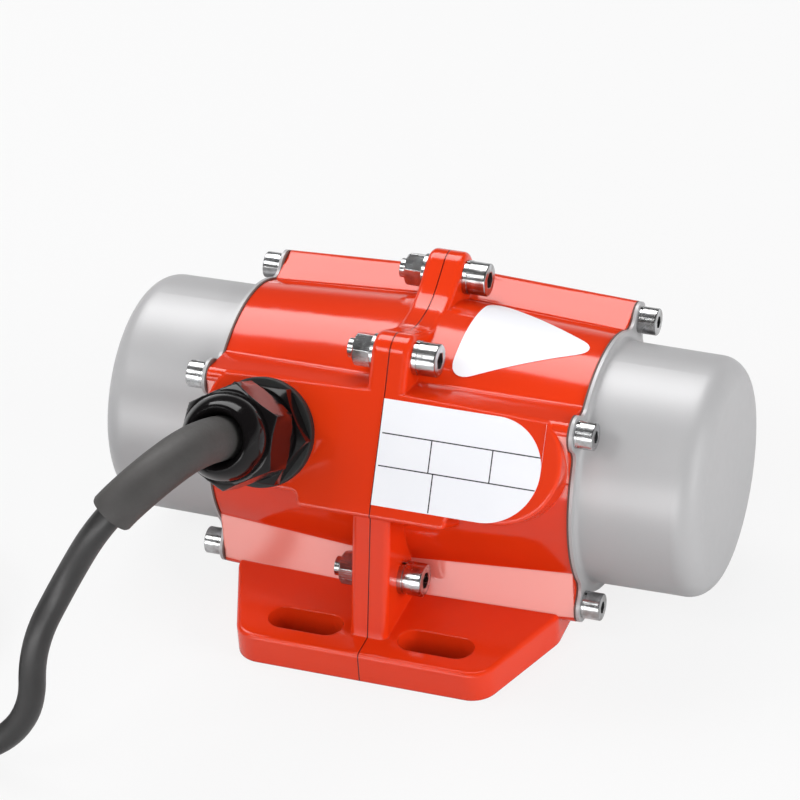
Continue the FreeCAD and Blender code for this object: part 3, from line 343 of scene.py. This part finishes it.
def solid_finish(name, colour, other, rough, metallic=0.0, tone_scale=60.0, amount=0.6,
                 grain=900.0, stretch=(1, 1, 1), coarse=0.4, depth=0.02 * MM,
                 edge=None, edge_radius=None, scuffed=0.3, coat=0.0, specular=0.5):
    """A finish with drifting tone, grain and scuffs, and rounded edges, perhaps lighter along
    them.
    """
    material, tree, shader = start_material(name)
    shader.inputs["Metallic"].default_value = metallic
    shader.inputs["Coat Weight"].default_value = coat
    shader.inputs["Coat Roughness"].default_value = 0.08
    shader.inputs["Specular IOR Level"].default_value = specular
    tone = place_group(tree, TONE, {"Colour": colour, "Other": other, "Scale": tone_scale,
                                    "Amount": amount})["Colour"]
    height = place_group(tree, GRAIN, {"Stretch": stretch, "Scale": grain,
                                       "Coarse": coarse})["Height"]
    normal = None
    if edge_radius is not None:
        rounded = place_group(tree, EDGES, {"Radius": edge_radius})
        normal = rounded["Normal"]
        if edge is not None:
            # lighter along the edges, in the given edge colour
            share = calc(tree, "MULTIPLY", rounded["Mask"], height)
            tone = blend(tree, share, tone, edge)
    scuff = place_group(tree, SCUFFS, {"Amount": scuffed})["Mask"]
    dulled = calc(tree, "ADD", height, scuff)
    tree.links.new(tone, shader.inputs["Base Color"])
    spread_roughness(tree, shader, dulled, rough[0], rough[1])
    tree.links.new(bump(tree, height, depth, normal=normal), shader.inputs["Normal"])
    return material


# --------------------------------------------------------------- finishes
def within(tree, value, centre, half):
    """1 where a value lies no further than half from the centre."""
    return calc(tree, "COMPARE", value, centre, half)


def housing_paint():
    """Orange-red enamel: rib flanks with painted reflection, shaded as if leaning up; a dark
    joint.
    """
    material = solid_finish("housing_paint", rgb(222, 56, 16), rgb(214, 44, 12), (0.09, 0.15),
                            tone_scale=22.0, amount=0.5, grain=520.0, coarse=0.6,
                            depth=0.006 * MM, edge_radius=0.7 * MM, scuffed=0.0, coat=0.15,
                            specular=0.38)
    tree = material.node_tree
    shader = tree.nodes["Principled BSDF"]
    tone = shader.inputs["Base Color"].links[0].from_socket
    smooth = shader.inputs["Normal"].links[0].from_socket
    axes = put(tree, "SeparateXYZ", {0: place_of(tree)}).outputs
    faces = put(tree, "SeparateXYZ", {0: put(tree, "NewGeometry").outputs["Normal"]}).outputs
    flanks = rib_flank(tree, axes["Y"], faces["Y"])
    # painted reflection: the rib flanks are mixed toward a pale pink
    tone = blend(tree, calc(tree, "MULTIPLY", flanks, FLANK_PAINTED_SHEEN), tone, rgb(255, 214, 204))
    joint = within(tree, axes["X"], 0.0, JOINT_HALF)
    tone = blend(tree, joint, tone, rgb(70, 14, 10))
    tree.links.new(tone, shader.inputs["Base Color"])
    upward = calc(tree, "MULTIPLY", flanks, FLANK_LEAN)
    turned = put(tree, "CombineXYZ", {"Z": upward}).outputs[0]
    leaning = put(tree, "VectorMath", {0: smooth, 1: turned}, operation="ADD").outputs[0]
    normal = put(tree, "VectorMath", {0: leaning}, operation="NORMALIZE").outputs[0]
    tree.links.new(normal, shader.inputs["Normal"])
    return material


def rib_flank(tree, across, facing):
    """Mask of the screw ribs' upright outer faces, on both sides of the shaft."""
    square = calc(tree, "GREATER_THAN", calc(tree, "ABSOLUTE", facing), FACING_SIDE)
    near = within(tree, calc(tree, "ABSOLUTE", across), RIB_HALF - RIB_DRAFT / 2,
                  RIB_DRAFT / 2 + FLANK_PLAY)
    return calc(tree, "MULTIPLY", near, square)


def cover_sheet():
    """Satin aluminium, drawn along the cup and lightly turned."""
    return solid_finish("cover_sheet", rgb(174, 173, 174), rgb(168, 168, 169), (0.38, 0.46),
                        metallic=0.13, tone_scale=30.0, amount=0.5, grain=420.0,
                        stretch=(0.05, 1, 1), depth=0.004 * MM, scuffed=0.15)


def bright_zinc():
    """Zinc-plated steel, blotchy and bright, lighter along its edges."""
    return solid_finish("bright_zinc", rgb(214, 216, 218), rgb(150, 148, 146), (0.14, 0.30),
                        metallic=1.0, tone_scale=420.0, amount=0.9, grain=2200.0,
                        stretch=(0.12, 1, 1), depth=0.05 * MM, edge=rgb(240, 240, 240),
                        edge_radius=0.25 * MM, scuffed=0.4)


def gasket_sheet():
    return solid_finish("gasket", rgb(104, 78, 72), rgb(82, 62, 58), (0.75, 0.92),
                        grain=1300.0, depth=0.05 * MM, scuffed=0.0)


def steel(name, colour, rough, stretch=(0.08, 1, 1), depth=0.004 * MM):
    darker = tuple(c * 0.82 for c in colour[:3]) + (1.0,)
    return solid_finish(name, colour, darker, rough, metallic=1.0, tone_scale=80.0, grain=1400.0,
                        stretch=stretch, depth=depth)


def moulded_nylon():
    """Glossy black glass-filled nylon with a faint flow pattern."""
    material = solid_finish("gland_nylon", rgb(12, 10, 11), rgb(18, 15, 16), (0.11, 0.19),
                            tone_scale=70.0, grain=700.0, depth=0.003 * MM, edge_radius=0.6 * MM,
                            scuffed=0.0, specular=0.3, coat=0.25)
    material.node_tree.nodes["Principled BSDF"].inputs["IOR"].default_value = 1.32
    return material


def black_rubber(name, colour, rough, depth):
    other = tuple(c * 1.6 + 0.002 for c in colour[:3]) + (1.0,)
    return solid_finish(name, colour, other, rough, tone_scale=90.0, grain=1000.0, depth=depth,
                        scuffed=0.25)


def striped_metal(name, dark, light, rough, wave, direction, metallic, coat, depth):
    """Metal in fine stripes: the edges of stacked sheets, or close strands of wire."""
    material, tree, shader = start_material(name)
    shader.inputs["Metallic"].default_value = metallic
    shader.inputs["Coat Weight"].default_value = coat
    scale, distortion, detail = wave
    bands = put(tree, "TexWave", {"Vector": place_of(tree), "Scale": scale,
                                  "Distortion": distortion, "Detail": detail},
                bands_direction=direction).outputs["Fac"]
    tree.links.new(blend(tree, bands, dark, light), shader.inputs["Base Color"])
    spread_roughness(tree, shader, bands, rough[0], rough[1])
    tree.links.new(bump(tree, bands, depth), shader.inputs["Normal"])
    return material


def sheet_print(name, turn, origin, rules):
    """White printed film; rules are thin black lines in the sheet's own plane, in millimetres."""
    material, tree, shader = start_material(name)
    shader.inputs["Specular IOR Level"].default_value = 0.2
    tone = place_group(tree, TONE, {"Colour": rgb(238, 238, 242), "Other": rgb(233, 234, 239),
                                    "Scale": 50.0, "Amount": 0.6})["Colour"]
    flat = put(tree, "Mapping", {"Vector": place_of(tree), "Location": origin,
                                 "Rotation": turn}, vector_type="TEXTURE").outputs[0]
    scaled = put(tree, "VectorMath", {0: flat, 3: 1 / MM}, operation="SCALE").outputs[0]
    axes = put(tree, "SeparateXYZ", {0: scaled}).outputs
    ink = None
    for (x0, y0), (x1, y1) in rules:
        line = ruled_line(tree, axes[0], axes[1], (x0 + x1) / 2, (y0 + y1) / 2,
                          abs(x1 - x0) / 2, abs(y1 - y0) / 2)
        ink = line if ink is None else calc(tree, "MAXIMUM", ink, line)
    if ink is not None:
        tone = blend(tree, ink, tone, rgb(26, 26, 34))
    tree.links.new(tone, shader.inputs["Base Color"])
    height = place_group(tree, GRAIN, {"Scale": 500.0})["Height"]
    spread_roughness(tree, shader, height, 0.38, 0.46)
    tree.links.new(bump(tree, height, 0.001 * MM), shader.inputs["Normal"])
    return material


def ruled_line(tree, across, up, x, y, half_x, half_y):
    """Mask of one straight printed line about (x, y)."""
    wide = within(tree, across, x, half_x + RULE_WIDTH / 2)
    high = within(tree, up, y, half_y + RULE_WIDTH / 2)
    return calc(tree, "MULTIPLY", wide, high)


FINISHES = {
    "housing_paint": housing_paint(),
    "cover_sheet": cover_sheet(),
    "gasket": gasket_sheet(),
    "bright_zinc": bright_zinc(),
    "gland_nylon": moulded_nylon(),
    "seal_rubber": black_rubber("seal_rubber", rgb(24, 24, 24), (0.55, 0.7), 0.03 * MM),
    "cable_jacket": black_rubber("cable_jacket", rgb(36, 35, 35), (0.34, 0.46), 0.012 * MM),
    "sleeve_rubber": black_rubber("sleeve_rubber", rgb(56, 54, 53), (0.52, 0.68), 0.03 * MM),
    "lamination": striped_metal("lamination", rgb(92, 94, 98), rgb(132, 134, 138),
                                (0.35, 0.55), (314.0, 0.3, 1.0), "X", 0.9, 0.0, 0.06 * MM),
    "copper_wire": striped_metal("copper_wire", rgb(120, 52, 24), rgb(200, 104, 58),
                                 (0.28, 0.42), (240.0, 4.0, 2.0), "DIAGONAL", 0.85, 0.5,
                                 0.15 * MM),
    "bearing_steel": steel("bearing_steel", rgb(196, 198, 202), (0.10, 0.20)),
    "cage_steel": steel("cage_steel", rgb(168, 160, 140), (0.25, 0.40), stretch=(1, 1, 1)),
    "ground_steel": steel("ground_steel", rgb(182, 184, 188), (0.18, 0.30), stretch=(1, 0.1, 0.1)),
    "spring_steel": steel("spring_steel", rgb(112, 108, 110), (0.25, 0.42), stretch=(1, 1, 1)),
    "weight_steel": steel("weight_steel", rgb(140, 138, 136), (0.35, 0.55), stretch=(1, 0.3, 0.3),
                          depth=0.02 * MM),
    "black_screw": steel("black_screw", rgb(46, 44, 46), (0.30, 0.48), stretch=(1, 1, 1)),
    "cast_aluminium": solid_finish("cast_aluminium", rgb(176, 176, 178), rgb(150, 150, 154),
                                   (0.45, 0.62), metallic=0.9, grain=700.0, depth=0.06 * MM),
    "slot_liner": solid_finish("slot_liner", rgb(222, 206, 164), rgb(204, 186, 142), (0.6, 0.8),
                               grain=800.0, depth=0.03 * MM),
    "core_insulation": solid_finish("core_insulation", rgb(36, 84, 168), rgb(28, 70, 150),
                                    (0.35, 0.5), grain=900.0, depth=0.01 * MM),
    "ferrule": steel("ferrule", rgb(206, 202, 192), (0.2, 0.35)),
}


def dress_nodes():
    """Every carried-over node gets the finish of its own slot."""
    for part in frame["record"]["subparts"]:
        materials = nodes[part["node"]].data.materials
        materials.clear()
        materials.append(FINISHES[part["material_slot"]])


# ----------------------------------------------------------- piece helpers
def add_piece(name, bm, slot, body="housing", sharp=math.radians(35), material=None):
    """Turns a bmesh into a finished piece that rides on a body."""
    mesh = bpy.data.meshes.new(name)
    bm.normal_update()
    bm.to_mesh(mesh)
    bm.free()
    mesh.shade_smooth()
    mesh.set_sharp_from_angle(angle=sharp)
    made = link(name, mesh)
    mesh.materials.append(material or FINISHES[slot])
    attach(made, body)
    return made


def pad_matrix(x=0.0):
    """Places a shape drawn in XY, facing +Z, on the tilted pad."""
    origin = AXIS + PAD_NORMAL * PAD_DISTANCE + PAD_SLOPE * PAD_OFFSET + Vector((x, 0, 0))
    axes = Matrix((Vector((1, 0, 0)), PAD_SLOPE, PAD_NORMAL)).transposed().to_4x4()
    return Matrix.Translation(origin) @ axes


# ----------------------------------------------------------- housing halves
def barrel_radius(x):
    """Radius of the drafted barrel at a station x."""
    return BARREL_R - BARREL_DRAFT * abs(x) / HALF_LENGTH


def rib_top(x):
    """Height of the screw ribs' tops over the axis, at a station x."""
    return RIB_HALF - RIB_DRAFT * abs(x) / HALF_LENGTH


def slope_rib_tops(v):
    """Lets the top of an upper rib fall towards the barrel, and its root slide round with it."""
    top, radius = rib_top(v.co.x), barrel_radius(v.co.x)
    out = abs(v.co.y)
    up = v.co.z - AXIS.z
    root = math.sqrt(radius ** 2 - top ** 2)
    edge = top - RIB_EDGE
    by_root = out < root + RIB_BLEND
    if abs(v.co.x) < FLANGE_FACE or not root - RIB_BLEND <= out <= edge:
        return
    if not top - RIB_PLAY <= up <= top + (RIB_BLEND if by_root else RIB_PLAY):
        return
    new_root = root
    for _ in range(RIB_ROOT_STEPS):
        new_root = math.sqrt(radius ** 2 - (top - RIB_SLOPE * (edge - new_root)) ** 2)
    if by_root:
        shift = new_root - root
        fall = RIB_SLOPE * (edge - new_root)
    else:
        shift = (new_root - root) * (edge - out) / (edge - root)
        fall = RIB_SLOPE * (edge - out - shift)
    v.co.y += math.copysign(shift, v.co.y)
    v.co.z -= fall


def make_housing(node):
    """A cast half, its rib tops sloped; every corner keeps its normal but those that turned."""
    source = nodes[node].data
    bm = bmesh.new()
    bm.from_mesh(source)
    kept = bm.loops.layers.float_vector.new("kept_normal")
    loops = [loop for face in bm.faces for loop in face.loops]
    for loop, corner in zip(loops, source.corner_normals):
        loop[kept] = corner.vector
    bmesh.ops.remove_doubles(bm, verts=bm.verts, dist=WELD)
    before = {v: v.co.copy() for v in bm.verts}
    for v in bm.verts:
        slope_rib_tops(v)
    moved = {v for v, place in before.items() if (v.co - place).length > MOVED}
    tops = {face for v in moved for face in v.link_faces if face.normal.z > FACING_UP}
    bm.normal_update()
    for v in moved:
        turn = Matrix.Rotation(-math.copysign(RIB_ROOT_TURN, v.co.y), 3, "X")
        for loop in v.link_loops:
            if loop.face not in tops and abs(loop[kept].x) < FACING_END:
                loop[kept] = turn @ loop[kept]
    for face in tops:
        for loop in face.loops:
            loop[kept] = face.normal
    half = add_piece(node + "_casting", bm, "housing_paint", sharp=math.pi)
    layer = half.data.attributes["kept_normal"]
    half.data.normals_split_custom_set([tuple(item.vector) for item in layer.data])
    # Looked up again: setting the normals adds an attribute, which may move the others.
    half.data.attributes.remove(half.data.attributes["kept_normal"])
    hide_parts(node)


# -------------------------------------------------------------- gland nut
def make_gland_nut():
    """Hexagon with coned corners, a dome and a rolled mouth, as one closed shell."""
    bm = bmesh.new()
    loops = []
    for height, radius in NUT_RINGS:
        ring = bmesh.ops.create_circle(bm, segments=NUT_SIDES, radius=1)["verts"]
        for v in ring:
            off = math.degrees(math.atan2(v.co.y, v.co.x)) % 60
            off = min(off, 60 - off)
            reach = min(radius, NUT_HALF / math.cos(math.radians(off)))
            v.co = Vector((v.co.x * reach, v.co.y * reach, height)) * MM
        loops.append(list({e for v in ring for e in v.link_edges}))
    for one, other in zip(loops, loops[1:] + loops[:1]):
        bmesh.ops.bridge_loops(bm, edges=one + other)
    bmesh.ops.recalc_face_normals(bm, faces=bm.faces)
    bm.transform(pad_matrix(GLAND_X))
    nut = add_piece("gland_cap", bm, "gland_nylon")
    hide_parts("gland_nut")


# ------------------------------------------------------------ rating plate
def make_rating_plate():
    """Printed plate: square at the parting line, rounded at its far end."""
    bm = bmesh.new()
    bmesh.ops.create_grid(bm, x_segments=1, y_segments=1, size=0.5)
    wide = PLATE_X[1] - PLATE_X[0]
    high = PLATE_V[1] - PLATE_V[0]
    bmesh.ops.scale(bm, vec=(wide, high, 1), verts=bm.verts)
    bmesh.ops.translate(bm, vec=(sum(PLATE_X) / 2, sum(PLATE_V) / 2, 0), verts=bm.verts)
    far_low = [v for v in bm.verts if v.co.x > wide / 2 and v.co.y < 0]
    bmesh.ops.bevel(bm, geom=far_low, offset=PLATE_END_R, affect="VERTICES", segments=24,
                    profile=0.5, material=-1)
    far_high = [v for v in bm.verts if v.co.x > wide * 0.99 and v.co.y > 0]
    bmesh.ops.bevel(bm, geom=far_high, offset=PLATE_TOP_R, affect="VERTICES", segments=16,
                    profile=0.5, material=-1)
    raise_sheet(bm, PLATE_T)
    place = pad_matrix()
    bm.transform(place)
    material = sheet_print("plate_print", place.to_euler(), place.translation, PLATE_RULES)
    return add_piece("rating_plate", bm, "cover_sheet", material=material)


def raise_sheet(bm, thickness):
    """Gives a flat sheet in XY its thickness upwards, with closed sides."""
    top = bmesh.ops.extrude_face_region(bm, geom=bm.faces[:])["geom"]
    raised = [v for v in top if isinstance(v, bmesh.types.BMVert)]
    bmesh.ops.translate(bm, vec=(0, 0, thickness), verts=raised)
    bmesh.ops.recalc_face_normals(bm, faces=bm.faces)


# ---------------------------------------------------------- barrel sticker
def make_sticker():
    """Rounded triangle wrapped over the barrel between the two upper ribs."""
    bm = bmesh.new()
    x0, x1 = STICKER_X
    corners = (x0, -STICKER_HALF_WIDTH, 0), (x1, 0, 0), (x0, STICKER_HALF_WIDTH, 0)
    bm.faces.new([bm.verts.new(corner) for corner in corners])
    bmesh.ops.bevel(bm, geom=bm.verts[:], offset=STICKER_CORNER, affect="VERTICES", segments=8,
                    profile=0.5, material=-1)
    for i in range(1, STICKER_STRIPS):
        y = STICKER_HALF_WIDTH * (2 * i / STICKER_STRIPS - 1)
        bmesh.ops.bisect_plane(bm, geom=bm.verts[:] + bm.edges[:] + bm.faces[:],
                               plane_co=(0, y, 0), plane_no=(0, 1, 0))
    raise_sheet(bm, STICKER_T)
    for v in bm.verts:
        radius = barrel_radius(v.co.x) + v.co.z + STICKER_LIFT
        angle = STICKER_ANGLE - v.co.y / BARREL_R
        v.co = Vector((v.co.x, radius * math.cos(angle), AXIS.z + radius * math.sin(angle)))
    bmesh.ops.recalc_face_normals(bm, faces=bm.faces)
    return add_piece("barrel_sticker", bm, "cover_sheet",
                     material=sheet_print("sticker_film", (0, 0, 0), (0, 0, 0), []))


# ------------------------------------------------------------- supply lead
def coil_points():
    """Control points of the put-away turns: outer and inner below, inner and outer on top."""
    step = 2 * math.pi / COIL_TURN_POINTS
    sag = (3 + math.cos(step)) / 4
    sixth = math.radians(60)
    points = []
    count = round(TAIL_TURN / step)
    for i in range(1, count + 1):
        turn = i * step
        inward = ease((turn - 5 * sixth) / sixth) - ease((turn - 15 * sixth) / sixth)
        climb = ease((turn - 10 * sixth) / sixth)
        radius = (COIL_INNER_R + CABLE_D * (1 - inward)) / sag
        angle = -math.pi / 2 - turn
        height = CABLE_D / 2 + FLOOR_PLAY + CABLE_D * climb
        points.append(COIL_CENTRE + Vector((radius * math.cos(angle), radius * math.sin(angle),
                                            height)))
    return points


def ease(share):
    """Smooth step from 0 to 1."""
    share = min(max(share, 0.0), 1.0)
    return share * share * (3 - 2 * share)


def tail_points():
    """The free end, down from the top layer to the surface."""
    angle = -math.pi / 2 - TAIL_TURN
    outward = Vector((math.cos(angle), math.sin(angle), 0))
    heading = Vector((math.sin(angle), -math.cos(angle), 0))
    start = COIL_CENTRE + outward * (COIL_INNER_R + CABLE_D)
    low = CABLE_D / 2 + FLOOR_PLAY
    return [start + heading * along * MM + Vector((0, 0, low + lift * CABLE_D))
            for along, lift in ((10, 0.75), (20, 0.18), (30, 0.0), (42, 0.0))]


def lead_line():
    """Every control point of the lead, from the gland to its free end."""
    exit_point = AXIS + PAD_NORMAL * (PAD_DISTANCE + CORD_RISE) + PAD_SLOPE * PAD_OFFSET
    exit_point.x = GLAND_X
    second = exit_point + PAD_NORMAL * SECOND_POINT
    route = [Vector(p) * MM for p in CABLE_ROUTE]
    return [exit_point, second] + route + coil_points() + tail_points()


def spline_object(name, points, radius):
    curve = bpy.data.curves.new(name, "CURVE")
    curve.dimensions = "3D"
    curve.bevel_depth = radius
    curve.bevel_resolution = 8
    curve.use_fill_caps = True
    curve.resolution_u = 10
    spline = curve.splines.new("NURBS")
    spline.points.add(len(points) - 1)
    for target, point in zip(spline.points, points):
        target.co = (*point, 1)
    spline.order_u = 3
    spline.use_endpoint_u = True
    return link(name, curve)


def centre_line(points):
    """Close points along the lead's own spline."""
    bare = spline_object("lead_line", points, 0)
    bpy.context.view_layer.update()
    mesh = bpy.data.meshes.new_from_object(bare)
    line = [v.co.copy() for v in mesh.vertices]
    bpy.data.objects.remove(bare)
    return line


def cut_to_length(line, length):
    """The first part of a line of points."""
    kept = [line[0]]
    left = length
    for a, b in zip(line, line[1:]):
        gap = (b - a).length
        if gap >= left:
            kept.append(a.lerp(b, left / gap))
            return kept
        left -= gap
        kept.append(b)
    return kept


def sweep(bm, line, profile):
    """Rings of a profile of (index on the line, radius), joined to one tube."""
    previous = None
    side = None
    for point, radius in profile:
        ahead = line[min(point + 1, len(line) - 1)] - line[max(point - 1, 0)]
        ahead.normalize()
        side = ahead.orthogonal() if side is None else side - ahead * side.dot(ahead)
        side.normalize()
        ring = bmesh.ops.create_circle(bm, segments=SLEEVE_SIDES, radius=radius)["verts"]
        axes = Matrix((side, ahead.cross(side), ahead)).transposed().to_4x4()
        bmesh.ops.transform(bm, matrix=Matrix.Translation(line[point]) @ axes, verts=ring)
        edges = list({e for v in ring for e in v.link_edges})
        if previous:
            bmesh.ops.bridge_loops(bm, edges=previous + edges)
        previous = edges


def make_sleeve(line):
    """Rubber sleeve pushed over the lead: a soft-edged tube with an open cut end."""
    bm = bmesh.new()
    span = cut_to_length(line, SLEEVE_LENGTH)
    last = len(span) - 1
    outer = SLEEVE_D / 2
    inner = CABLE_D / 2 + SLEEVE_PLAY
    profile = [(0, inner), (0, outer * 0.97)] + [(i, outer) for i in range(1, last)]
    profile += [(last, outer - 0.3 * MM), (last, outer - 0.9 * MM), (last, inner)]
    sweep(bm, span, profile)
    bmesh.ops.recalc_face_normals(bm, faces=bm.faces)
    return add_piece("lead_sleeve", bm, "sleeve_rubber")


def make_lead():
    points = lead_line()
    line = centre_line(points)
    lead = spline_object("supply_lead", points, CABLE_D / 2)
    lead.data.materials.append(FINISHES["cable_jacket"])
    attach(lead, "housing")
    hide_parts("cable_run", "cable_coil", "cable_tail")
    sleeve = make_sleeve(line)
    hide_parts("cable_sleeve")


# ------------------------------------------------------------------ studio
def make_floor():
    """Pale floor, near white for the camera, painted dark as shade where the foot covers it."""
    bm = bmesh.new()
    bmesh.ops.create_grid(bm, x_segments=1, y_segments=1, size=FLOOR_HALF)
    bmesh.ops.translate(bm, vec=(0, 0, -FLOOR_DROP), verts=bm.verts)
    mesh = bpy.data.meshes.new("floor")
    bm.to_mesh(mesh)
    bm.free()
    floor = link("floor", mesh)
    material = bpy.data.materials.new("floor_white")
    material.use_nodes = True
    tree = material.node_tree
    tree.nodes.clear()
    path = put(tree, "LightPath").outputs
    axes = put(tree, "SeparateXYZ", {0: place_of(tree)}).outputs
    # painted shade: under the foot and its slots the floor is coloured dark and kept from glowing
    foot_shade_mask = calc(tree, "MULTIPLY", within(tree, axes["X"], 0.0, SLOTS_HALF_X),
                   within(tree, axes["Y"], 0.0, SLOTS_HALF_Y))
    shade = blend(tree, foot_shade_mask, (0.62, 0.62, 0.62, 1), (0.10, 0.09, 0.08, 1))
    paint = put(tree, "BsdfDiffuse", {"Color": shade}).outputs[0]
    glow = put(tree, "Emission", {"Color": (1, 1, 1, 1), "Strength": 1.0}).outputs[0]
    open_floor = calc(tree, "SUBTRACT", 1.0, foot_shade_mask)
    plain = calc(tree, "MAXIMUM", path["Is Camera Ray"], path["Is Transmission Ray"])
    mirrored = calc(tree, "MULTIPLY", path["Is Glossy Ray"], FLOOR_MIRRORED)
    whitened = calc(tree, "MULTIPLY_ADD", plain, FLOOR_WHITE, mirrored)
    share = calc(tree, "MULTIPLY", whitened, open_floor)
    mixed = put(tree, "MixShader", {0: share, 1: paint, 2: glow}).outputs[0]
    put(tree, "OutputMaterial", {"Surface": mixed})
    mesh.materials.append(material)


def make_world():
    """White for the camera, dim overhead in reflections, soft for the light it gives."""
    world = bpy.data.worlds.new("studio")
    world.use_nodes = True
    bpy.context.scene.world = world
    tree = world.node_tree
    tree.nodes.clear()
    around = put(tree, "TexCoord").outputs["Generated"]
    height = put(tree, "SeparateXYZ", {0: around}).outputs["Z"]
    level = put(tree, "MapRange", {"Value": height, "From Min": 0.0,
                                   "From Max": WORLD_LOW_BAND, "To Min": 1.0,
                                   "To Max": WORLD_DIM}).outputs[0]
    soft = put(tree, "Background", {"Color": (0.95, 0.97, 1, 1),
                                    "Strength": WORLD_SOFT}).outputs[0]
    mirrored = put(tree, "Background", {"Color": (1, 1, 1, 1), "Strength": level}).outputs[0]
    white = put(tree, "Background", {"Color": (1, 1, 1, 1), "Strength": 1.0}).outputs[0]
    path = put(tree, "LightPath").outputs
    with_gloss = put(tree, "MixShader", {0: path["Is Glossy Ray"], 1: soft,
                                         2: mirrored}).outputs[0]
    clear = calc(tree, "MAXIMUM", path["Is Camera Ray"], path["Is Transmission Ray"])
    mixed = put(tree, "MixShader", {0: clear, 1: with_gloss, 2: white}).outputs[0]
    put(tree, "OutputWorld", {"Surface": mixed})


def softbox(name, place, width, height, watts, mirrored=True, lit=True):
    """Soft panel aimed at the shaft; a fill is not mirrored, a sheen is seen only in mirrors."""
    lamp = bpy.data.lights.new(name, "AREA")
    lamp.shape = "RECTANGLE"
    lamp.size = width
    lamp.size_y = height
    lamp.energy = watts
    made = link(name, lamp)
    made.location = place
    aim = AXIS + Vector((0 if lit else place[0], 0, 0))
    made.rotation_euler = (aim - Vector(place)).to_track_quat("-Z", "Y").to_euler()
    made.visible_glossy = mirrored
    made.visible_diffuse = lit


def make_lights():
    softbox("sheen", (-0.36, 0.50, 1.02), 1.3, 0.62, 15.5, lit=False)
    softbox("front_sheen", (-0.36, -1.15, 0.13), 1.6, 0.40, 10.0, lit=False)
    softbox("overhead", (-0.36, 0.48, 1.02), 1.1, 0.50, 8.2, mirrored=False)
    softbox("front_high", (-0.55, -0.72, 0.95), 0.5, 0.3, 3.0)
    softbox("front_fill", (0.15, -1.1, 0.60), 0.9, 0.6, 5.4, mirrored=False)
    softbox("left_fill", (-1.2, -0.4, 0.5), 0.6, 0.7, 5.2, mirrored=False)
    softbox("right_fill", (1.2, -0.2, 0.4), 0.6, 0.6, 11.5, mirrored=False)


bpy.context.scene.view_settings.view_transform = "Standard"
make_camera()
make_world()
make_floor()
make_lights()
dress_nodes()
make_housing("housing_left")
make_housing("housing_right")
make_lead()
make_gland_nut()
make_rating_plate()
make_sticker()
